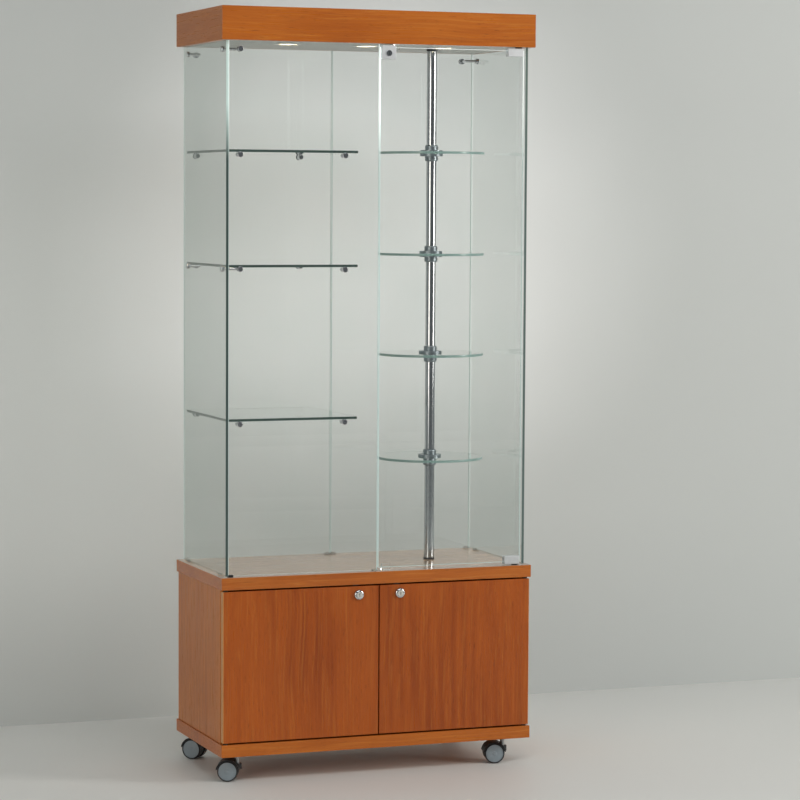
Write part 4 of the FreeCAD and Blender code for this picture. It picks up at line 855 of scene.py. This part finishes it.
@dataclass
class GlassBox:
    """Fixed panes, left shelves and their fittings."""

    side_panes: tuple[str, ...] = ("left_pane", "right_pane")
    front_pane: str = "front_pane"
    back_panes: tuple[str, ...] = ("back_left_pane", "back_right_pane")
    shelves: tuple[str, ...] = ("lower_left_shelf", "middle_left_shelf", "upper_left_shelf")
    floor_z: float = 498.0
    ceiling_z: float = 1769.5
    side_pads: tuple[Place, ...] = (
        (-383.0, -130.0), (-383.0, 130.0), (383.0, -130.0), (383.0, 130.0))
    cross_pads: tuple[Place, ...] = (
        (-7.5, -173.0), (-373.5, 173.0), (-7.5, 173.0), (7.5, 173.0), (373.5, 173.0))
    corner_pad: Place = (-373.5, -173.0)
    pad_half_length: float = 6.0
    pad_half_width: float = 5.1
    groove_half: float = 3.1
    pad_base: float = 2.0
    lip_from: float = 0.6
    lip_top: float = 5.0
    pad_ease: float = 0.7

    def pad(self, place: Place, run: int) -> list[Grid]:
        """Channel under a pane: an eased base with two eased lips.

        Args:
            place: X and Y of the pad's middle.
            run: Number of the axis that the pane runs along.

        Returns:
            Base and lips.
        """
        outer, inner, reach = self.pad_half_width, self.groove_half, self.pad_half_length
        wide = 1 - run
        made = []
        for near, far, low, high in ((-outer, outer, 0.0, self.pad_base),
                                     (-outer, -inner, self.lip_from, self.lip_top),
                                     (inner, outer, self.lip_from, self.lip_top)):
            start = np.array((*place, self.floor_z + low))
            stop = np.array((*place, self.floor_z + high))
            start[run], stop[run] = place[run] - reach, place[run] + reach
            start[wide], stop[wide] = place[wide] + near, place[wide] + far
            made.append(bar(tuple(start), tuple(stop), run, self.pad_ease))
        return made

    def edges(self, names: Iterable[str], sides: Iterable[Side]) -> list[Grid]:
        """Bars over the same edges of several panes, up to the ceiling."""
        return [grid for name in names for grid in edge_bars(name, sides, self.ceiling_z)]

    def build(self) -> list[str]:
        """Dress the glass, which lets the lamps' light through, and add its edges and pads."""
        left, right = self.side_panes
        sheets = (*self.side_panes, self.front_pane, *self.back_panes, *self.shelves)
        see_through(*sheets)
        clear = [grid for place in self.side_pads for grid in self.pad(place, 1)]
        clear += [grid for place in self.cross_pads for grid in self.pad(place, 0)]
        rear = self.edges(self.side_panes, FRONT_BACK[1:]) + self.edges(self.back_panes, LEFT_RIGHT)
        rims = self.edges(self.shelves, LEFT_RIGHT + FRONT_BACK)
        pads = piece("pane_pads", clear, ACRYLIC, "case")
        pads.visible_shadow = False
        made = [pads.name]
        # Each edge bar carries its finish's painted light or shade.
        for name, bars, finish in (
                ("corner_glass_edge", self.edges((left,), FRONT_BACK[:1]), CORNER_EDGE),
                ("shaded_glass_edge", self.edges((right,), FRONT_BACK[:1]), SHADED_EDGE),
                ("split_glass_edges", self.edges((self.front_pane,), LEFT_RIGHT), SPLIT_EDGE),
                ("rear_glass_edges", rear, REAR_EDGE), ("left_shelf_edges", rims, SHELF_EDGE)):
            made.append(piece(name, bars, finish, "case").name)
        corner = piece("corner_pad", self.pad(self.corner_pad, 0), BLACK_NYLON, "case")
        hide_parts("pane_shoes")
        return (dress(GLASS, *sheets) + dress(CHROME, "corner_connectors", "shelf_pegs") + made
                + [corner.name])


@dataclass
class GlassDoor:
    """Swinging pane with its clamps, pivots, lock and stops."""

    pane: str = "door_pane"

    def build(self) -> list[str]:
        """Dress the door and what holds it, and add its ground edges."""
        see_through(self.pane, "door_stops")
        # The door's edges take the split edge's painted light and painted glow.
        edges = piece("door_glass_edges", edge_bars(self.pane, LEFT_RIGHT + BOTTOM_TOP), SPLIT_EDGE,
                      "glass_door")
        return (dress(GLASS, self.pane) + dress(SATIN_CHROME, "hinge_clamps", "door_lock_body")
                + dress(CHROME, "door_lock_plug") + dress(ZINC, "door_lock_bolt")
                + dress(BLACK_NYLON, "door_pivots") + dress(ACRYLIC, "door_stops") + [edges.name])


@dataclass
class TurningColumn:
    """Chrome column with four round shelves."""

    shelves: tuple[str, ...] = (
        "round_shelf_one", "round_shelf_two", "round_shelf_three", "round_shelf_four")
    inner_ease: float = 0.1
    outer_ease: float = 0.4
    rim_steps: int = 180

    def rim(self, name: str) -> Grid:
        """Ring over the ground edge of a round shelf, a little proud of it, in the edge's tone with
        its painted light and shade.
        """
        low, high = box_of(name)
        middle, radius = (low + high) / 2, (high[0] - low[0]) / 2
        inner, outer = radius - EDGE_DEPTH, radius + EDGE_PROUD
        bottom, top = low[2] - EDGE_PROUD, high[2] + EDGE_PROUD
        loop = rounded([(inner, bottom, self.inner_ease), (outer, bottom, self.outer_ease),
                        (outer, top, self.outer_ease), (inner, top, self.inner_ease)], steps=4)
        return moved(turned(loop, self.rim_steps, ring=True), (middle[0], middle[1], 0.0))

    def build(self) -> list[str]:
        """Dress the column, its hubs and shelves, and add the shelves' ground edges."""
        see_through(*self.shelves)
        rims = piece("round_shelf_edges", [self.rim(name) for name in self.shelves], ROUND_EDGE,
                     "column")
        return (dress(GLASS, *self.shelves) + dress(COLUMN_CHROME, "column_tube", "column_spigots")
                + dress(CAST_ZINC, "shelf_hubs") + dress(ZINC, "hub_screws")
                + dress(BLACK_NYLON, "column_bearings") + [rims.name])


@dataclass
class Canopy:
    """Cherry canopy with a pale ceiling and three downlights."""

    lamp_xs: tuple[float, ...] = (-200.0, 0.0, 200.0)
    lamp_y: float = -75.0
    front_z: float = 1770.0
    lamp_radius: float = 24.7
    bowl_wall: float = 1.6
    bowl_mouth: float = 3.0
    bowl_depth: float = 25.0
    bowl_throat: float = 6.0
    bowl_steps: int = 14
    bowl_crease_deg: float = 20.0
    rim_heights: Place = (1.0, 4.0)
    neck_radius: float = 10.0
    neck_heights: Place = (30.0, 38.0)
    facets: int = 24
    facet_steps: int = 4
    facet_pull: float = 0.03
    lens_inset: float = 1.0
    lens_bulge: float = 0.9
    lens_heights: Place = (0.2, 0.95)
    lens_steps: int = 12

    def bowl(self) -> Grid:
        """Faceted reflector with a rim and a neck.

        The inside is the parabola h = m + d (1 - (r / R)^2) of mouth radius R, mouth height m and
        depth d. Between its n facets the radius r is pulled in by 1 - p |sin(n a / 2)|. The outside
        is a plain cone.
        """
        radius, neck = self.lamp_radius, self.neck_radius
        rim_low, rim_high = self.rim_heights
        neck_low, neck_high = self.neck_heights
        mouth = radius - self.bowl_wall
        inner_r = np.linspace(self.bowl_throat, mouth, self.bowl_steps)
        inner_h = self.bowl_mouth + self.bowl_depth * (1.0 - (inner_r / mouth) ** 2)
        outer = np.array([
            (radius - self.bowl_wall / 2, rim_low), (radius, rim_low), (radius, rim_high),
            (neck, neck_low), (neck, neck_high), (0.0, neck_high)])
        profile = np.concatenate((np.array([(0.0, self.bowl_mouth + self.bowl_depth)]),
                                  np.stack((inner_r, inner_h), axis=1), outer))
        steps = self.facets * self.facet_steps
        angle = np.linspace(0.0, 2 * math.pi, steps, endpoint=False)
        swell = np.ones((len(profile), steps))
        # The ends of the parabola stay round.
        swell[2:self.bowl_steps] = 1.0 - self.facet_pull * np.abs(np.sin(self.facets * angle / 2))
        return turned(profile, steps, swell=swell)

    def front(self) -> Grid:
        """Pressed front glass: a thin lens whose lower face bulges by b (1 - (r / R)^2)."""
        low, high = self.lens_heights
        r = np.linspace(0.0, self.lamp_radius - self.lens_inset, self.lens_steps)
        lower = np.stack((r, low - self.lens_bulge * (1.0 - (r / r[-1]) ** 2)), axis=1)
        upper = np.stack((r[::-1], np.full(self.lens_steps, high)), axis=1)
        return turned(np.concatenate((lower, upper)), steps=64)

    def build(self) -> list[str]:
        """Dress the boards, and put reflectors with front glass in place of the plain lamps."""
        spots = [(x, self.lamp_y, self.front_z) for x in self.lamp_xs]
        bowls = piece("lamp_reflectors", [moved(self.bowl(), spot) for spot in spots], LAMP_BOWL,
                      "case", self.bowl_crease_deg)
        fronts = piece("lamp_fronts", [moved(self.front(), spot) for spot in spots], LAMP_FRONT,
                       "case")
        fronts.visible_shadow = False
        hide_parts("lamps")
        return (dress(BOARD_ACROSS, "canopy_front", "canopy_back", "canopy_lid")
                + dress(BOARD_DEEP, "canopy_ends") + dress(CEILING_BOARD, "ceiling_panel")
                + dress(WHITE_ABS, "lamp_rims", "lamp_transformer")
                + dress(BLACK_NYLON, "power_inlet") + [bowls.name, fronts.name])


@dataclass
class Castors:
    """Twin-wheel castors: black tyres and hoods, grey domed discs, each at its own angle."""

    swivels_deg: tuple[tuple[str, float], ...] = (
        ("front_left", 24.0), ("front_right", 14.0), ("back_left", 43.0), ("back_right", 30.0))
    wheel_radius: float = 25.0
    wheel_width: float = 18.0
    half_gap: float = 5.5
    wheel_steps: int = 96
    disc_radius: float = 22.8
    disc_room: float = 0.6
    disc_sink: float = 2.2
    disc_dome: float = 1.7
    cap_radius: float = 6.4
    axle_radius: float = 3.0
    axle_reach: float = 3.0

    def tyre(self) -> Grid:
        """Rounded ring whose tread is the wheel's radius."""
        tread, width, seat = self.wheel_radius, self.wheel_width, self.disc_radius
        profile = rounded([
            (seat - 1.0, 0.4, 0.4), (tread - 1.0, 0.0, 1.2), (tread, 3.0, 2.0),
            (tread, width - 3.0, 2.0), (tread - 1.2, width - 0.2, 1.2), (seat, width - 0.2, 0.8),
            (seat - 1.0, width - 1.6, 0.3)])
        return turned(profile, self.wheel_steps, ring=True)

    def disc(self) -> Grid:
        """Domed disc: its face is h = w - s + d (1 - (r / R)^2), with a cap over the axle.

        Here w is the wheel's width, s how far the disc's edge is sunk, and d its dome.
        """
        edge, width = self.disc_radius - self.disc_room, self.wheel_width
        r = np.linspace(edge, self.cap_radius, 16)
        face_h = width - self.disc_sink + self.disc_dome * (1.0 - (r / edge) ** 2)
        top = face_h[-1]
        back = np.array([(0.0, 1.2), (edge - 0.4, 1.2), (edge, 1.8), (edge, width - 2.8)])
        cap = np.array([(6.1, top - 0.35), (5.6, top - 0.1), (5.0, top + 0.25), (3.0, top + 0.42),
                        (0.0, top + 0.45)])
        profile = np.concatenate((back, np.stack((r, face_h), axis=1), cap))
        return turned(profile, self.wheel_steps)

    def axle(self) -> Grid:
        """Turned axle between the wheels with eased ends."""
        half, radius = self.half_gap + self.axle_reach, self.axle_radius
        return turned(rounded([(0.0, -half, 0.0), (radius, -half, 0.4), (radius, half, 0.4),
                               (0.0, half, 0.0)]), steps=32)

    def build(self) -> list[str]:
        """Dress the hoods and stems, and put turned wheels in place of the plain ones."""
        made: list[str] = []
        for label, degrees in self.swivels_deg:
            low, high = box_of(f"{label}_castor_wheels")
            middle, angle = (low + high) / 2, math.radians(degrees)
            axis = np.array((math.sin(angle), math.cos(angle), 0.0))
            places = [(tuple(middle + end * self.half_gap * axis), tuple(end * axis))
                      for end in (-1.0, 1.0)]
            body = f"{label}_wheels"
            tyres = piece(f"{label}_tyres", [moved(self.tyre(), *place) for place in places],
                          BLACK_NYLON, body)
            discs = piece(f"{label}_wheel_discs", [moved(self.disc(), *place) for place in places],
                          GREY_NYLON, body)
            axle = piece(f"{label}_axle", [moved(self.axle(), tuple(middle), tuple(axis))], ZINC,
                         body)
            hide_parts(f"{label}_castor_wheels")
            made += [tyres.name, discs.name, axle.name]
            made += dress(BLACK_NYLON, f"{label}_castor_hood")
        return made + dress(ZINC, "castor_stems")


@dataclass(frozen=True)
class Softbox:
    """Area light at a spot that faces an aim, seen in mirrors but not by itself."""

    name: str
    spot: Spot
    aim: Spot
    size: Place
    watts: float
    tint: str

    def build(self) -> None:
        """Set up the light."""
        lamp = bpy.data.lights.new(self.name, "AREA")
        lamp.shape, lamp.energy = "RECTANGLE", self.watts
        lamp.size, lamp.size_y = self.size
        lamp.color = linear(self.tint)[:3]
        holder = bpy.data.objects.new(self.name, lamp)
        holder.location = self.spot
        facing = Vector(self.aim) - Vector(self.spot)
        holder.rotation_euler = facing.to_track_quat("-Z", "Y").to_euler()
        holder.visible_camera = holder.visible_transmission = False
        bpy.context.scene.collection.objects.link(holder)


@dataclass
class Studio:
    """Pale wall and floor, soft light, and the camera at the photograph's angle."""

    floor_reach: float = 9.0
    wall_y: float = 0.73
    wall_reach: float = 8.0
    wall_height: float = 5.0
    room_tint: str = "#E4E8EA"
    room_levels: Place = (0.16, 0.36)
    room_span: Place = (-0.9, 0.4)
    lights: tuple[Softbox, ...] = (
        Softbox("key", (3.9, -2.7, 2.1), (0.0, 0.0, 1.0), (1.1, 2.8), 107.0, "#FFF9F2"),
        Softbox("fill", (-3.6, -3.0, 1.6), (0.0, 0.0, 0.9), (1.8, 2.2), 46.0, "#FFF6EA"),
        Softbox("top", (0.0, -3.0, 3.6), (0.0, 0.4, 0.8), (3.0, 1.0), 42.0, "#FFFFFF"))
    sensor_mm: float = 36.0
    lens_mm: float = 127.80
    stand: Spot = (-2.3946, -6.5964, 1.3973)
    turn: Spot = (-0.3646, -0.0704, 0.0056)

    def sheet(self, name: str, corners: list[Spot], finish: Finish) -> None:
        """Flat sheet of the stage from four corners.

        Args:
            name: Name of the sheet.
            corners: Its corners, in order.
            finish: Finish of the sheet.
        """
        mesh = bpy.data.meshes.new(name)
        mesh.from_pydata(corners, [], [(0, 1, 2, 3)])
        mesh.materials.append(finish.material())
        made = bpy.data.objects.new(name, mesh)
        bpy.context.scene.collection.objects.link(made)

    def room(self) -> None:
        """Room round the stage, dim behind the camera and brighter towards the wall."""
        world = bpy.data.worlds.new("soft_room")
        bpy.context.scene.world = world
        world.use_nodes = True
        tree = world.node_tree
        ray = add(tree, "ShaderNodeTexCoord").outputs["Generated"]
        toward_wall = add(tree, "ShaderNodeSeparateXYZ", {0: ray}).outputs["Y"]
        level = add(tree, "ShaderNodeMapRange", {
            "Value": toward_wall, "From Min": self.room_span[0], "From Max": self.room_span[1],
            "To Min": self.room_levels[0], "To Max": self.room_levels[1]}).outputs["Result"]
        glow = tree.nodes["Background"]
        glow.inputs["Color"].default_value = linear(self.room_tint)
        tree.links.new(level, glow.inputs["Strength"])

    def camera(self) -> None:
        """Camera that looks as the photograph does."""
        data = bpy.data.cameras.new("photo_camera")
        data.sensor_fit, data.sensor_width = "HORIZONTAL", self.sensor_mm
        data.lens = self.lens_mm
        holder = bpy.data.objects.new("photo_camera", data)
        heading, pitch, roll = self.turn
        holder.matrix_world = (
            Matrix.Translation(self.stand) @ Matrix.Rotation(heading, 4, "Z")
            @ Matrix.Rotation(math.pi / 2 + pitch, 4, "X") @ Matrix.Rotation(roll, 4, "Z"))
        bpy.context.scene.collection.objects.link(holder)
        bpy.context.scene.camera = holder

    def build(self) -> None:
        """Set the stage, the light and the camera."""
        far, wide, wall, top = self.floor_reach, self.wall_reach, self.wall_y, self.wall_height
        self.sheet("stage_floor", [(-far, -far, 0.0), (far, -far, 0.0), (far, far, 0.0),
                                   (-far, far, 0.0)], FLOOR_COAT)
        self.sheet("stage_wall", [(-wide, wall, 0.0), (wide, wall, 0.0), (wide, wall, top),
                                  (-wide, wall, top)], BACKDROP)
        self.room()
        for light in self.lights:
            light.build()
        bpy.context.scene.view_settings.view_transform = "Standard"
        self.camera()


def main() -> None:
    """Dress each sub-assembly in turn, log the names of what it made, and set the studio."""
    logging.basicConfig(level=logging.INFO, format="%(name)s: %(message)s")
    for assembly in (BaseCupboard(), GlassBox(), GlassDoor(), TurningColumn(), Canopy(), Castors()):
        for name in assembly.build():
            LOG.info("%s: %s", type(assembly).__name__, name)
    Studio().build()


if __name__ == "__main__":
    main()
